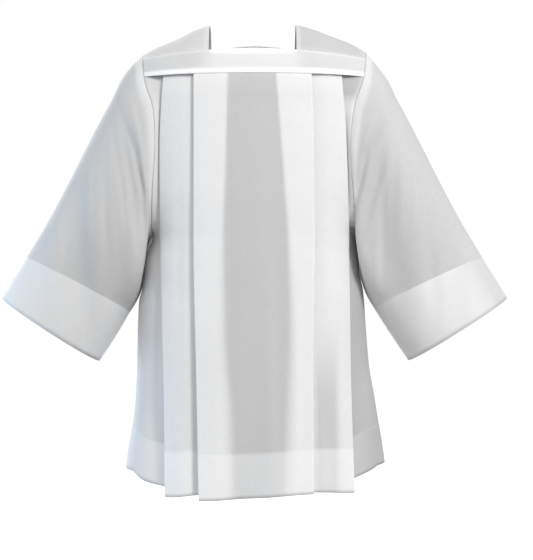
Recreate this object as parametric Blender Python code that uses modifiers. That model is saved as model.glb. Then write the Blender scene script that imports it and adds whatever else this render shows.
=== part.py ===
"""White surplice: square neck on a yoke, outward knife pleats and wide open sleeves.

Metres, +Z up. The front faces -Y and the wearer's left side is +X. The origin is the level
of the shoulder tops at the neck, midway between them, where the garment is held up.
"""

import math
from bisect import bisect_right
from collections import namedtuple

import bmesh
import bpy

COLLECTION = "surplice"

# Wall of the cloth: one layer, a turned-up hem, a yoke band of two layers, and the seam gap.
CLOTH = 0.0012
HEM_CLOTH = 0.0024
YOKE_CLOTH = 0.0018
SEAM_GAP = 0.0004

# Faces and sides of the body, as signs on Y and X.
FRONT = -1
BACK = 1
RIGHT = -1
LEFT = 1

# Upper body: edge of the neck on each side, the level of the chest, of the underarm, and how
# square a section of the body is (2 is an ellipse).
NECK = {RIGHT: 0.0885, LEFT: 0.0820}
CHEST_Z = -0.160
UNDERARM_Z = -0.420
SQUARENESS = 2.6

# Yoke bands: height of the top and bottom edge at the middle, and how far each falls by EDGE_X.
EDGE_X = 0.215
Band = namedtuple("Band", "top top_fall top_power bottom bottom_fall bottom_power")
BANDS = {
    FRONT: Band(-0.0575, 0.0140, 1.4, -0.1090, 0.0020, 2.0),
    BACK: Band(-0.0300, 0.0360, 1.6, -0.0780, 0.0350, 2.0),
}

# Shoulder line, from the neck out to the armhole.
Ridge = namedtuple("Ridge", "x right left")
RIDGE = (
    Ridge(0.000, 0.0010, 0.0010),
    Ridge(0.080, 0.0005, 0.0005),
    Ridge(0.113, -0.0080, -0.0072),
    Ridge(0.153, -0.0275, -0.0220),
    Ridge(0.195, -0.0450, -0.0385),
    Ridge(0.224, -0.0605, -0.0555),
)

# Body sections: half width on the wearer's right and left, depth in front and behind.
Form = namedtuple("Form", "z right left front back")
FORM = (
    Form(-0.160, 0.250, 0.250, 0.120, 0.112),
    Form(-0.200, 0.248, 0.248, 0.123, 0.114),
    Form(-0.250, 0.245, 0.245, 0.126, 0.116),
    Form(-0.300, 0.238, 0.238, 0.128, 0.117),
    Form(-0.340, 0.229, 0.229, 0.130, 0.118),
    Form(-0.380, 0.217, 0.217, 0.131, 0.118),
    Form(-0.400, 0.2105, 0.2105, 0.1315, 0.1185),
    Form(-0.420, 0.2030, 0.2030, 0.132, 0.119),
    Form(-0.440, 0.2090, 0.2052, 0.133, 0.1195),
    Form(-0.470, 0.2184, 0.2082, 0.1345, 0.120),
    Form(-0.500, 0.2207, 0.2107, 0.136, 0.121),
    Form(-0.525, 0.2243, 0.2166, 0.137, 0.122),
    Form(-0.550, 0.2308, 0.2192, 0.138, 0.123),
    Form(-0.600, 0.2330, 0.2225, 0.141, 0.126),
    Form(-0.680, 0.2345, 0.2275, 0.145, 0.130),
    Form(-0.750, 0.238, 0.240, 0.149, 0.134),
    Form(-0.860, 0.2550, 0.2580, 0.156, 0.142),
    Form(-0.930, 0.262, 0.266, 0.161, 0.147),
)

# Armhole seam in front view, from the shoulder down to the underarm, on each side.
Armhole = namedtuple("Armhole", "z right left")
ARMHOLE = (
    Armhole(-0.057, 0.2220, 0.2220),
    Armhole(-0.090, 0.2190, 0.2185),
    Armhole(-0.120, 0.2140, 0.2120),
    Armhole(-0.140, 0.2080, 0.2050),
    Armhole(-0.160, 0.2000, 0.1975),
    Armhole(-0.200, 0.1935, 0.1900),
    Armhole(-0.250, 0.1925, 0.1866),
    Armhole(-0.300, 0.1960, 0.1885),
    Armhole(-0.340, 0.1990, 0.1930),
    Armhole(-0.380, 0.2015, 0.2000),
    Armhole(-0.420, 0.2030, 0.2030),
)

# Knife pleats: where the inner and outer fold edge lies on each side.
Folds = namedtuple("Folds", "z right_inner right_outer left_inner left_outer")
PLEATS = {
    FRONT: (
        Folds(-0.10, 0.1171, 0.1766, 0.1110, 0.1699),
        Folds(-0.25, 0.1165, 0.1840, 0.1150, 0.1797),
        Folds(-0.42, 0.1165, 0.1835, 0.1170, 0.1850),
        Folds(-0.70, 0.1100, 0.1755, 0.1139, 0.1885),
        Folds(-0.93, 0.1045, 0.1710, 0.1149, 0.1945),
    ),
    BACK: (
        Folds(-0.10, 0.1140, 0.1730, 0.1140, 0.1730),
        Folds(-0.25, 0.1150, 0.1800, 0.1155, 0.1800),
        Folds(-0.42, 0.1165, 0.1830, 0.1160, 0.1835),
        Folds(-0.70, 0.1150, 0.1820, 0.1120, 0.1790),
        Folds(-0.93, 0.1180, 0.1850, 0.1090, 0.1750),
    ),
}

# Place across that gives a level's height at the pleats, and the layers of cloth that the two
# pleats of one side lay one behind another.
PLEAT_X = 0.15
PLEAT_LAYERS = 5

# Depth of the cloth folded under at each pleat, and how far apart its layers hang.
Underlay = namedtuple("Underlay", "right left")
UNDERLAY = {FRONT: Underlay(0.056, 0.052), BACK: Underlay(0.054, 0.054)}
Pitch = namedtuple("Pitch", "z step")
PITCH = (Pitch(-0.10, 0.0024), Pitch(-0.42, 0.0032), Pitch(-0.70, 0.0048), Pitch(-0.93, 0.0064))

# Height of the hem at each place along the cloth, from the middle out to the side seam.
Hem = namedtuple("Hem", "place right left")
HEM = {
    FRONT: (
        Hem(0, -0.922, -0.922),
        Hem(1, -0.928, -0.915),
        Hem(2, -0.923, -0.914),
        Hem(3, -0.919, -0.914),
        Hem(4, -0.925, -0.918),
        Hem(5, -0.916, -0.907),
        Hem(6, -0.909, -0.898),
        Hem(6.5, -0.9035, -0.8865),
        Hem(6.84, -0.896, -0.878),
        Hem(7.25, -0.882, -0.8715),
        Hem(8, -0.880, -0.870),
    ),
    BACK: (
        Hem(0, -0.918, -0.918),
        Hem(1, -0.920, -0.923),
        Hem(2, -0.916, -0.918),
        Hem(3, -0.913, -0.915),
        Hem(4, -0.917, -0.919),
        Hem(5, -0.909, -0.910),
        Hem(6, -0.902, -0.902),
        Hem(7, -0.892, -0.888),
        Hem(8, -0.880, -0.870),
    ),
}
MIDDLE_HEM = -0.925
SIDE_HEM = -0.878
BODY_HEM_DEPTH = 0.084

# The hem's level rises from the middle to the side seam, slowly at first.
HEM_RISE_X = 0.26
HEM_RISE_POWER = 3

# Levels of a panel: shares of the way from yoke to underarm, then from underarm to hem.
UPPER_LEVELS = (0.0, 0.15, 0.31, 0.47, 0.63, 0.77, 0.88, 0.95)
LOWER_LEVELS = (0.0, 0.04, 0.10, 0.16, 0.21, 0.27, 0.38, 0.52, 0.67)
HEM_SHARE = 1.0 - BODY_HEM_DEPTH / (UNDERARM_Z - MIDDLE_HEM)
HEM_LEVELS = (HEM_SHARE, HEM_SHARE + 0.006, 0.91, 1.0)

# Soft flares of the skirt: middle and half width across, how far out they swing at the hem,
# and the height where they start.
Flare = namedtuple("Flare", "x half_width swing start")
FLARES = {
    FRONT: (
        Flare(-0.030, 0.050, -0.006, -0.45),
        Flare(0.045, 0.045, 0.005, -0.50),
        Flare(-0.140, 0.035, 0.005, -0.55),
        Flare(0.150, 0.035, -0.005, -0.50),
        Flare(-0.215, 0.030, 0.006, -0.62),
        Flare(0.220, 0.028, 0.007, -0.60),
    ),
    BACK: (
        Flare(0.020, 0.055, -0.007, -0.48),
        Flare(-0.070, 0.040, 0.005, -0.55),
        Flare(0.150, 0.036, 0.006, -0.52),
        Flare(-0.155, 0.034, -0.005, -0.58),
        Flare(0.215, 0.030, -0.005, -0.62),
        Flare(-0.220, 0.028, 0.006, -0.60),
    ),
}

# Sleeve rings after the armhole: the top line, the bottom line on each side, the half depth
# in front and behind, how far the middle of the ring hangs past a straight line, and how far
# its lower part clings in towards the body.
Ring = namedtuple("Ring", "top_x top_z right_x right_z left_x left_z front back bow cling")
SLEEVE_RINGS = (
    Ring(0.2420, -0.078, 0.2150, -0.440, 0.2085, -0.440, 0.098, 0.090, 0.000, 0.060),
    Ring(0.2645, -0.108, 0.2205, -0.470, 0.2100, -0.470, 0.101, 0.092, 0.000, 0.090),
    Ring(0.2840, -0.148, 0.2225, -0.500, 0.2125, -0.500, 0.101, 0.093, 0.000, 0.090),
    Ring(0.3060, -0.188, 0.2265, -0.526, 0.2185, -0.522, 0.100, 0.093, -0.001, 0.080),
    Ring(0.3360, -0.246, 0.2310, -0.540, 0.2230, -0.535, 0.098, 0.092, -0.003, 0.060),
    Ring(0.3700, -0.313, 0.2360, -0.550, 0.2275, -0.544, 0.095, 0.091, -0.005, 0.040),
    Ring(0.4110, -0.390, 0.2415, -0.560, 0.2325, -0.553, 0.092, 0.090, -0.007, 0.020),
    Ring(0.4535, -0.462, 0.2480, -0.570, 0.2385, -0.563, 0.090, 0.089, -0.009, 0.000),
    Ring(0.4552, -0.465, 0.2498, -0.5725, 0.2400, -0.5655, 0.090, 0.089, -0.009, 0.000),
    Ring(0.4785, -0.5025, 0.2775, -0.620, 0.2735, -0.618, 0.088, 0.088, -0.006, 0.000),
    Ring(0.5035, -0.543, 0.3100, -0.669, 0.3075, -0.668, 0.086, 0.087, -0.001, 0.000),
)
SLEEVE_HEM_RING = 9
RING_SQUARENESS = 2.2
CLING_POWER = 2.7
ARMHOLE_BLEND = (1.0, 0.45, 0.15)

# Broad folds of the sleeves: start and end in front view, half width and depth, seen on one
# face of one sleeve. A negative depth is a trough. Each fades out beyond its ends, over a
# share of its length.
CREASE_FADE = 0.3
Crease = namedtuple("Crease", "side face x0 z0 x1 z1 half_width depth")
SLEEVE_CREASES = (
    Crease(RIGHT, FRONT, 0.262, -0.205, 0.222, -0.430, 0.030, -0.008),
    Crease(RIGHT, FRONT, 0.300, -0.280, 0.300, -0.560, 0.034, 0.006),
    Crease(RIGHT, FRONT, 0.350, -0.290, 0.345, -0.530, 0.032, -0.006),
    Crease(RIGHT, FRONT, 0.385, -0.360, 0.395, -0.560, 0.034, 0.005),
    Crease(RIGHT, FRONT, 0.256, -0.440, 0.262, -0.580, 0.024, -0.005),
    Crease(LEFT, FRONT, 0.245, -0.220, 0.225, -0.420, 0.030, -0.008),
    Crease(LEFT, FRONT, 0.256, -0.330, 0.262, -0.500, 0.030, -0.005),
    Crease(LEFT, FRONT, 0.310, -0.270, 0.315, -0.550, 0.038, 0.006),
    Crease(LEFT, FRONT, 0.380, -0.360, 0.395, -0.580, 0.036, -0.004),
    Crease(RIGHT, BACK, 0.255, -0.215, 0.226, -0.440, 0.032, -0.007),
    Crease(RIGHT, BACK, 0.320, -0.290, 0.300, -0.560, 0.040, 0.006),
    Crease(RIGHT, BACK, 0.380, -0.370, 0.370, -0.580, 0.036, -0.005),
    Crease(LEFT, BACK, 0.252, -0.200, 0.222, -0.430, 0.032, -0.007),
    Crease(LEFT, BACK, 0.335, -0.300, 0.325, -0.570, 0.042, 0.006),
    Crease(LEFT, BACK, 0.285, -0.330, 0.280, -0.560, 0.034, -0.005),
)

# Stations across the yoke and steps round the shoulder.
YOKE_STATIONS = (0.0, 0.030, 0.058, 0.086, 0.112, 0.138, 0.164, 0.190)
STATION_STEP = 0.010
YOKE_ROWS = (0.0, 0.5, 1.0)
SHOULDER_STEPS = 4
CURVE_SAMPLES = 120
LEAN_STEP = 0.002

# Rounds that settle a place on a curve, and samples on each side that give its direction.
SEAM_ROUNDS = 8
LAYER_ROUNDS = 4
DIRECTION_SPAN = 2

# Side of a panel beyond its outer pleat: where it starts in turns of a fold and as a place
# along the cloth, its steps, and the narrow strip at the seam which lies square to it.
SIDE_CLEAR = 1.2
SIDE_PLACE = 6.2
SIDE_END_PLACE = 8
SIDE_SHARES = (0.0, 0.25, 0.5, 0.75, 1.0)
SEAM_TAB = 0.003
TURN_ANGLES = (math.radians(60.0), math.radians(120.0))

# Finish of the white polyester and cotton cloth.
CLOTH_COLOUR = (0.86, 0.87, 0.89, 1.0)
CLOTH_ROUGHNESS = 0.85


def lerp(start, end, share):
    """Value a share of the way from start to end."""
    return start + (end - start) * share


def read_table(rows, column, key):
    """Column of a table at a key of its first column, on a smooth curve through its rows."""
    ordered = sorted(rows, key=lambda row: row[0])
    keys = [row[0] for row in ordered]
    values = [getattr(row, column) for row in ordered]
    if key <= keys[0]:
        return values[0]
    if key >= keys[-1]:
        return values[-1]
    slopes = [
        (values[i + 1] - values[i]) / (keys[i + 1] - keys[i]) for i in range(len(keys) - 1)
    ]

    def tangent(index):
        before = slopes[max(index - 1, 0)]
        after = slopes[min(index, len(slopes) - 1)]
        if before * after <= 0.0:
            return 0.0
        return 2.0 * before * after / (before + after)

    i = bisect_right(keys, key) - 1
    span = keys[i + 1] - keys[i]
    t = (key - keys[i]) / span
    blend = t * t * (3.0 - 2.0 * t)
    lean_in = t * (1.0 - t) * (1.0 - t) * span * tangent(i)
    lean_out = t * t * (1.0 - t) * span * tangent(i + 1)
    return lerp(values[i], values[i + 1], blend) + lean_in - lean_out


def side_name(side):
    """Column of a table for a side of the body."""
    return "left" if side == LEFT else "right"


def face_name(face):
    """Column of a table for the front or the back."""
    return "front" if face == FRONT else "back"


def ridge_z(side, x):
    """Height of the shoulder line."""
    return read_table(RIDGE, side_name(side), abs(x))


def crown(side, x, z):
    """Share of the body's depth at a height above the chest: all at the chest, none on top."""
    rise = max(0.0, (z - CHEST_Z) / (ridge_z(side, x) - CHEST_Z))
    return math.sqrt(max(0.0, 1.0 - rise * rise))


def form_y(side, face, x, z):
    """Outer face of the body at a place in front view."""
    ratio = min(1.0, abs(x) / read_table(FORM, side_name(side), z))
    depth = read_table(FORM, face_name(face), z)
    return face * depth * (1.0 - ratio**SQUARENESS) ** (1.0 / SQUARENESS) * crown(side, x, z)


def form_lean(side, face, x, z):
    """How far the body's outer face leans back for each metre of height."""
    low, high = z - LEAN_STEP, z + LEAN_STEP
    return (abs(form_y(side, face, x, low)) - abs(form_y(side, face, x, high))) / (high - low)


def band_edge(face, x, bottom):
    """Height of a yoke band's top or bottom edge."""
    band = BANDS[face]
    out = abs(x) / EDGE_X
    if bottom:
        return band.bottom - band.bottom_fall * out**band.bottom_power
    return band.top - band.top_fall * out**band.top_power


def armhole_x(side, z):
    """Distance of the armhole seam from the middle of the body."""
    return read_table(ARMHOLE, side_name(side), z)


def seam_crossing(side, height_at):
    """Place where a line, given as height over distance, meets the armhole seam."""
    x = EDGE_X
    for _ in range(SEAM_ROUNDS):
        x = armhole_x(side, height_at(x))
    return x


def panel_height(face, share):
    """Line across a panel: a share of the way from under the yoke band to the underarm."""
    return lambda x: lerp(band_edge(face, x, bottom=True) - SEAM_GAP, UNDERARM_Z, share)


class LevelCurve:
    """Outer face of one side of a panel at one level, from its middle to its side edge."""

    def __init__(self, side, face, below, share):
        self.side = side
        self.face = face
        self.below = below
        self.share = share
        if below:
            edge_x = None
            edge_z = lerp(UNDERARM_Z, SIDE_HEM, share)
        else:
            edge_x = seam_crossing(side, self.height)
            edge_z = self.height(edge_x)
        self.width = read_table(FORM, side_name(side), edge_z)
        last = math.pi / 2.0
        if edge_x is not None:
            ratio = min(1.0, edge_x / self.width)
            last = math.asin(ratio ** (SQUARENESS / 2.0))
        self.points = [self.sample(last * i / CURVE_SAMPLES) for i in range(CURVE_SAMPLES + 1)]
        self.distances = [0.0]
        for (x0, y0), (x1, y1) in zip(self.points, self.points[1:]):
            self.distances.append(self.distances[-1] + math.hypot(x1 - x0, y1 - y0))
        self.length = self.distances[-1]

    def height(self, x):
        """Height of this level, which follows the yoke's edge above and the hem below."""
        if self.below:
            out = min(1.0, abs(x) / HEM_RISE_X) ** HEM_RISE_POWER
            return lerp(UNDERARM_Z, lerp(MIDDLE_HEM, SIDE_HEM, out), self.share)
        return panel_height(self.face, self.share)(x)

    def sample(self, angle):
        """Point of the section at an angle from the middle."""
        x = self.width * math.sin(angle) ** (2.0 / SQUARENESS)
        z = self.height(x)
        depth = read_table(FORM, face_name(self.face), z) * crown(self.side, x, z)
        return x, self.face * depth * max(0.0, math.cos(angle)) ** (2.0 / SQUARENESS)

    def distance_at(self, x):
        """Distance along the curve to a place across the body."""
        for i, (x1, _) in enumerate(self.points[1:]):
            x0 = self.points[i][0]
            if x1 >= x:
                share = (x - x0) / (x1 - x0)
                return lerp(self.distances[i], self.distances[i + 1], share)
        return self.length

    def distance_at_layer(self, x, inward):
        """Distance along the curve whose point, moved into the body, lies at a place across."""
        target = x
        for _ in range(LAYER_ROUNDS):
            distance = self.distance_at(target)
            target += x - abs(self.at(distance, inward)[0])
        return self.distance_at(target)

    def at(self, distance, inward):
        """Point on the curve, moved into the body, with X signed for its side."""
        i = min(max(bisect_right(self.distances, distance) - 1, 0), CURVE_SAMPLES - 1)
        (x0, y0), (x1, y1) = self.points[i], self.points[i + 1]
        run = self.distances[i + 1] - self.distances[i]
        share = (distance - self.distances[i]) / run
        before = self.points[max(i - DIRECTION_SPAN, 0)]
        after = self.points[min(i + 1 + DIRECTION_SPAN, CURVE_SAMPLES)]
        along_x, along_y = after[0] - before[0], after[1] - before[1]
        if i == 0:
            along_x, along_y = 1.0, 0.0
        span = math.hypot(along_x, along_y)
        out_x = -self.face * along_y / span
        out_y = self.face * along_x / span
        x = lerp(x0, x1, share) - out_x * inward
        y = lerp(y0, y1, share) - out_y * inward
        return self.side * x, y


Stop = namedtuple("Stop", "distance inward place")


def run_of(start, end, inward, places, count):
    """Stops of a straight run of cloth, both ends counted."""
    return [
        Stop(lerp(start, end, i / count), inward, lerp(places[0], places[1], i / count))
        for i in range(count + 1)
    ]


def turn_of(distance, outward, start, end, place):
    """Stops between two runs where the cloth turns back on itself."""
    radius = (end - start) / 2.0
    middle = (start + end) / 2.0
    return [
        Stop(
            distance + outward * radius * math.sin(angle),
            middle - radius * math.cos(angle),
            place,
        )
        for angle in TURN_ANGLES
    ]


def pleat_stops(curve):
    """Path of the cloth across one side of a panel: two knife pleats, then the side."""
    side, face = curve.side, curve.face
    name = side_name(side)
    z = curve.height(PLEAT_X)
    step = read_table(PITCH, "step", z)
    layers = [CLOTH / 2.0 + step * i for i in range(PLEAT_LAYERS)]
    reach = step / 2.0 + CLOTH / 2.0
    inner_x = read_table(PLEATS[face], name + "_inner", z)
    outer_x = read_table(PLEATS[face], name + "_outer", z)
    inner = curve.distance_at_layer(inner_x, layers[0]) - reach
    outer = curve.distance_at_layer(outer_x, layers[2]) - reach
    under = getattr(UNDERLAY[face], name)
    stops = run_of(0.0, inner, layers[0], (0, 1), 3)
    stops += turn_of(inner, 1, layers[0], layers[1], 1)
    stops += run_of(inner, inner - under, layers[1], (1, 2), 2)
    stops += turn_of(inner - under, -1, layers[1], layers[2], 2)
    stops += run_of(inner - under, inner, layers[2], (2, 3), 2)
    stops += run_of(inner, outer, layers[2], (3, 4), 2)[1:]
    stops += turn_of(outer, 1, layers[2], layers[3], 4)
    stops += run_of(outer, outer - under, layers[3], (4, 5), 2)
    stops += turn_of(outer - under, -1, layers[3], layers[4], 5)
    stops += run_of(outer - under, outer, layers[4], (5, 6), 2)
    edge = curve.length - SEAM_GAP / 2.0
    clear = outer + SIDE_CLEAR * reach
    for share in sorted((*SIDE_SHARES, 1.0 - SEAM_TAB / (edge - clear))):
        ease = share * share * (3.0 - 2.0 * share)
        inward = lerp(layers[4], layers[0], ease)
        place = lerp(SIDE_PLACE, SIDE_END_PLACE, share)
        stops.append(Stop(lerp(clear, edge, share), inward, place))
    return stops


def flare_swing(face, x, z):
    """How far out the skirt swings at a place, the same for all layers of a pleat."""
    swing = 0.0
    for flare in FLARES[face]:
        across = abs(x - flare.x) / flare.half_width
        if across < 1.0 and z < flare.start:
            fall = (flare.start - z) / (flare.start - MIDDLE_HEM)
            swing += flare.swing * fall * 0.5 * (1.0 + math.cos(math.pi * across))
    return swing


def panel_row(face, below, share):
    """Points across a whole panel at one level."""
    row = []
    for side in (RIGHT, LEFT):
        curve = LevelCurve(side, face, below, share)
        points = []
        for stop in pleat_stops(curve):
            x, y = curve.at(stop.distance, stop.inward)
            if below:
                hem = read_table(HEM[face], side_name(side), stop.place)
                z = lerp(UNDERARM_Z, hem, share)
                x, y = curve.at(stop.distance, stop.inward - flare_swing(face, x, z))
            else:
                level = curve.height(abs(x))
                lean = form_lean(side, face, x, level)
                z = level - stop.inward * lean
            points.append((x, y, z))
        row += points[:0:-1] if side == RIGHT else points
    return row


def armhole_point(side, face, height_at):
    """Point where a line of the body meets the armhole seam."""
    x = seam_crossing(side, height_at)
    z = height_at(x)
    return side * x, form_y(side, face, x, z), z


def shoulder_height(side, face, share):
    """Line round the shoulder: a share of the way from the yoke band up to the ridge."""

    def height(x):
        seam = band_edge(face, x, bottom=False) + SEAM_GAP
        rise = ridge_z(side, x) - CHEST_Z
        angle = lerp(math.asin((seam - CHEST_Z) / rise), math.pi / 2.0, share)
        return CHEST_Z + rise * math.sin(angle)

    return height


def band_height(face, share):
    """Line along a yoke band: a share of the way from its top edge to its bottom edge."""
    return lambda x: lerp(band_edge(face, x, False), band_edge(face, x, True), share)


def armhole_half(side, face):
    """Points of the armhole seam from just below the shoulder ridge to above the underarm."""
    lines = [shoulder_height(side, face, 1.0 - i / SHOULDER_STEPS) for i in range(1, SHOULDER_STEPS)]
    lines += [band_height(face, share) for share in YOKE_ROWS]
    lines += [panel_height(face, share) for share in UPPER_LEVELS[1:]]
    return [armhole_point(side, face, line) for line in lines]


def armhole_loop(side):
    """Armhole seam as a closed loop: ridge, down the front, underarm, up the back."""
    top = armhole_point(side, FRONT, shoulder_height(side, FRONT, 1.0))
    underarm = (side * armhole_x(side, UNDERARM_Z), 0.0, UNDERARM_Z)
    front = armhole_half(side, FRONT)
    back = armhole_half(side, BACK)
    return [top, *front, underarm, *reversed(back)]


def crease_depth(side, face, x, z):
    """How far a sleeve's wall is pushed out by the folds near a place in front view."""
    depth = 0.0
    for crease in SLEEVE_CREASES:
        if crease.side != side or crease.face != face:
            continue
        along_x, along_z = crease.x1 - crease.x0, crease.z1 - crease.z0
        length = math.hypot(along_x, along_z)
        share = ((x - crease.x0) * along_x + (z - crease.z0) * along_z) / length**2
        off = abs((x - crease.x0) * along_z - (z - crease.z0) * along_x) / length
        if off < crease.half_width and -CREASE_FADE < share < 1.0 + CREASE_FADE:
            ends = math.sin(math.pi * (share + CREASE_FADE) / (1.0 + 2.0 * CREASE_FADE))
            depth += crease.depth * ends * 0.5 * (1.0 + math.cos(math.pi * off / crease.half_width))
    return depth


def oval_point(top, low, depth, angle):
    """Point of a ring between its top and bottom line; the angle runs down from the top."""
    reach = math.copysign(abs(math.cos(angle)) ** (2.0 / RING_SQUARENESS), math.cos(angle))
    x = (top[0] + low[0]) / 2.0 + (top[0] - low[0]) / 2.0 * reach
    z = (top[1] + low[1]) / 2.0 + (top[1] - low[1]) / 2.0 * reach
    return x, depth * math.sin(angle) ** (2.0 / RING_SQUARENESS), z


def cling_share(angle):
    """Share of a ring's cling at an angle: most low on its front and back, none at its lines."""
    return max(0.0, -math.cos(angle)) ** 2 * math.sin(angle) ** CLING_POWER


def sleeve_rings(side):
    """Rings of a sleeve's outer face from the armhole seam to the cuff."""
    name = side_name(side)
    loop = armhole_loop(side)
    top, low = loop[0], loop[len(loop) // 2]
    height = (top[2] - low[2]) / 2.0
    angles = [math.acos(max(-1.0, min(1.0, (p[2] - low[2]) / height - 1.0))) for p in loop]
    faces = [FRONT if i <= len(loop) // 2 else BACK for i in range(len(loop))]
    depths = {
        face: max(abs(p[1]) for p, f in zip(loop, faces) if f == face) for face in (FRONT, BACK)
    }
    off = []
    for point, angle, face in zip(loop, angles, faces):
        x, y, z = oval_point((abs(top[0]), top[2]), (abs(low[0]), low[2]), depths[face], angle)
        off.append((abs(point[0]) - x, point[1] - face * y, point[2] - z))
    rings = [[(p[0] + side * SEAM_GAP / 2.0, p[1], p[2]) for p in loop]]
    for index, ring in enumerate(SLEEVE_RINGS, start=1):
        blend = ARMHOLE_BLEND[index] if index < len(ARMHOLE_BLEND) else 0.0
        ring_top = (ring.top_x, ring.top_z)
        ring_low = (getattr(ring, name + "_x"), getattr(ring, name + "_z"))
        across = math.dist(ring_top, ring_low)
        down = ((ring_top[1] - ring_low[1]) / across, -(ring_top[0] - ring_low[0]) / across)
        points = []
        for angle, face, rest in zip(angles, faces, off):
            x, y, z = oval_point(ring_top, ring_low, getattr(ring, face_name(face)), angle)
            bow = ring.bow * math.sin(angle)
            x += rest[0] * blend + down[0] * bow - ring.cling * cling_share(angle)
            z += rest[2] * blend + down[1] * bow
            y += crease_depth(side, face, x, z) * math.sin(angle)
            points.append((side * x, face * y + rest[1] * blend, z))
        rings.append(points)
    return rings


def make_material(name, colour, roughness):
    """Plain cloth finish for a piece."""
    material = bpy.data.materials.new(name)
    material.use_nodes = True
    shader = material.node_tree.nodes["Principled BSDF"]
    shader.inputs["Base Color"].default_value = colour
    shader.inputs["Roughness"].default_value = roughness
    shader.inputs["Metallic"].default_value = 0.0
    return material


def loft(name, rows, collection, outward, closed=False):
    """Open surface through rows of points, with its faces turned to a known outward side."""
    mesh = bpy.data.meshes.new(name)
    shape = bmesh.new()
    grid = [[shape.verts.new(point) for point in row] for row in rows]
    count = len(rows[0])
    for upper, lower in zip(grid, grid[1:]):
        for i in range(count if closed else count - 1):
            j = (i + 1) % count
            shape.faces.new((upper[i], lower[i], lower[j], upper[j]))
    shape.normal_update()
    index, direction = outward
    shape.faces.ensure_lookup_table()
    normal = shape.faces[index].normal
    if sum(a * b for a, b in zip(normal, direction)) < 0.0:
        bmesh.ops.reverse_faces(shape, faces=shape.faces[:])
    shape.to_mesh(mesh)
    shape.free()
    mesh.shade_smooth()
    mesh.materials.append(make_material(name + "_cloth", CLOTH_COLOUR, CLOTH_ROUGHNESS))
    piece = bpy.data.objects.new(name, mesh)
    collection.objects.link(piece)
    return piece


def give_wall(piece, wall, offset, hem_from=None, row_length=None):
    """Thickness of the cloth; from a row onwards it is the double wall of the hem."""
    solidify = piece.modifiers.new("wall", "SOLIDIFY")
    solidify.thickness = wall
    solidify.offset = offset
    solidify.use_even_offset = True
    solidify.use_rim = True
    if hem_from is None:
        return
    solidify.thickness = HEM_CLOTH
    group = piece.vertex_groups.new(name="layers")
    first = hem_from * row_length
    group.add(list(range(first)), wall / HEM_CLOTH, "REPLACE")
    group.add(list(range(first, len(piece.data.vertices))), 1.0, "REPLACE")
    solidify.vertex_group = group.name


def make_panel(name, face, collection):
    """Pleated front or back, from under the yoke to the hem."""
    rows = [panel_row(face, False, share) for share in UPPER_LEVELS]
    rows += [panel_row(face, True, share) for share in LOWER_LEVELS + HEM_LEVELS]
    count = len(rows[0])
    panel = loft(name, rows, collection, (count // 2, (0.0, face, 0.0)))
    hem_row = len(UPPER_LEVELS) + len(LOWER_LEVELS) + 1
    give_wall(panel, CLOTH, 0.0, hem_row, count)


def make_yoke(name, face, collection):
    """Straight band over the tops of the pleats, from armhole to armhole."""
    rows = []
    for share in YOKE_ROWS:
        line = band_height(face, share)
        halves = []
        for side in (RIGHT, LEFT):
            edge = seam_crossing(side, line) - SEAM_GAP / 2.0
            across = [*YOKE_STATIONS, edge]
            halves.append([(side * x, form_y(side, face, x, line(x)), line(x)) for x in across])
        rows.append(halves[0][:0:-1] + halves[1])
    yoke = loft(name, rows, collection, (len(rows[0]) // 2, (0.0, face, 0.0)))
    give_wall(yoke, YOKE_CLOTH, -1.0)


def make_shoulder(name, side, collection):
    """Shoulder piece beside the neck, from the front band over the ridge to the back band."""
    turns = [(FRONT, i / SHOULDER_STEPS) for i in range(SHOULDER_STEPS + 1)]
    turns += [(BACK, 1.0 - i / SHOULDER_STEPS) for i in range(1, SHOULDER_STEPS + 1)]
    rows = []
    for face, share in turns:
        line = shoulder_height(side, face, share)
        edge = seam_crossing(side, line) - SEAM_GAP / 2.0
        stations = [NECK[side], *(x for x in YOKE_STATIONS if x > NECK[side] + STATION_STEP), edge]
        rows.append([(side * x, form_y(side, face, x, line(x)), line(x)) for x in stations])
    shoulder = loft(name, rows, collection, (0, (0.0, FRONT, 1.0)))
    give_wall(shoulder, CLOTH, -1.0)


def make_sleeve(name, side, collection):
    """Wide sleeve from the armhole seam to the open cuff, with a deep hem."""
    rings = sleeve_rings(side)
    sleeve = loft(name, rings, collection, (0, (side, 0.0, 1.0)), closed=True)
    give_wall(sleeve, CLOTH, -1.0, SLEEVE_HEM_RING, len(rings[0]))


def main():
    """Clear the scene and make every piece of the surplice."""
    for item in list(bpy.data.objects):
        bpy.data.objects.remove(item, do_unlink=True)
    collection = bpy.data.collections.new(COLLECTION)
    bpy.context.scene.collection.children.link(collection)
    make_panel("front_panel", FRONT, collection)
    make_panel("back_panel", BACK, collection)
    make_yoke("front_yoke", FRONT, collection)
    make_yoke("back_yoke", BACK, collection)
    make_shoulder("shoulder_right", RIGHT, collection)
    make_shoulder("shoulder_left", LEFT, collection)
    make_sleeve("sleeve_right", RIGHT, collection)
    make_sleeve("sleeve_left", LEFT, collection)


main()
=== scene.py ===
"""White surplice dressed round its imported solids: pleated cloth, yoke, sleeves and sewing.

Metres, +Z up. The front faces -Y and the wearer's left side is +X, as in the frame.
"""

import logging
import math
from bisect import bisect_right
from collections.abc import Callable, Sequence
from dataclasses import dataclass, field
from enum import Enum
from typing import NamedTuple

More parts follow.
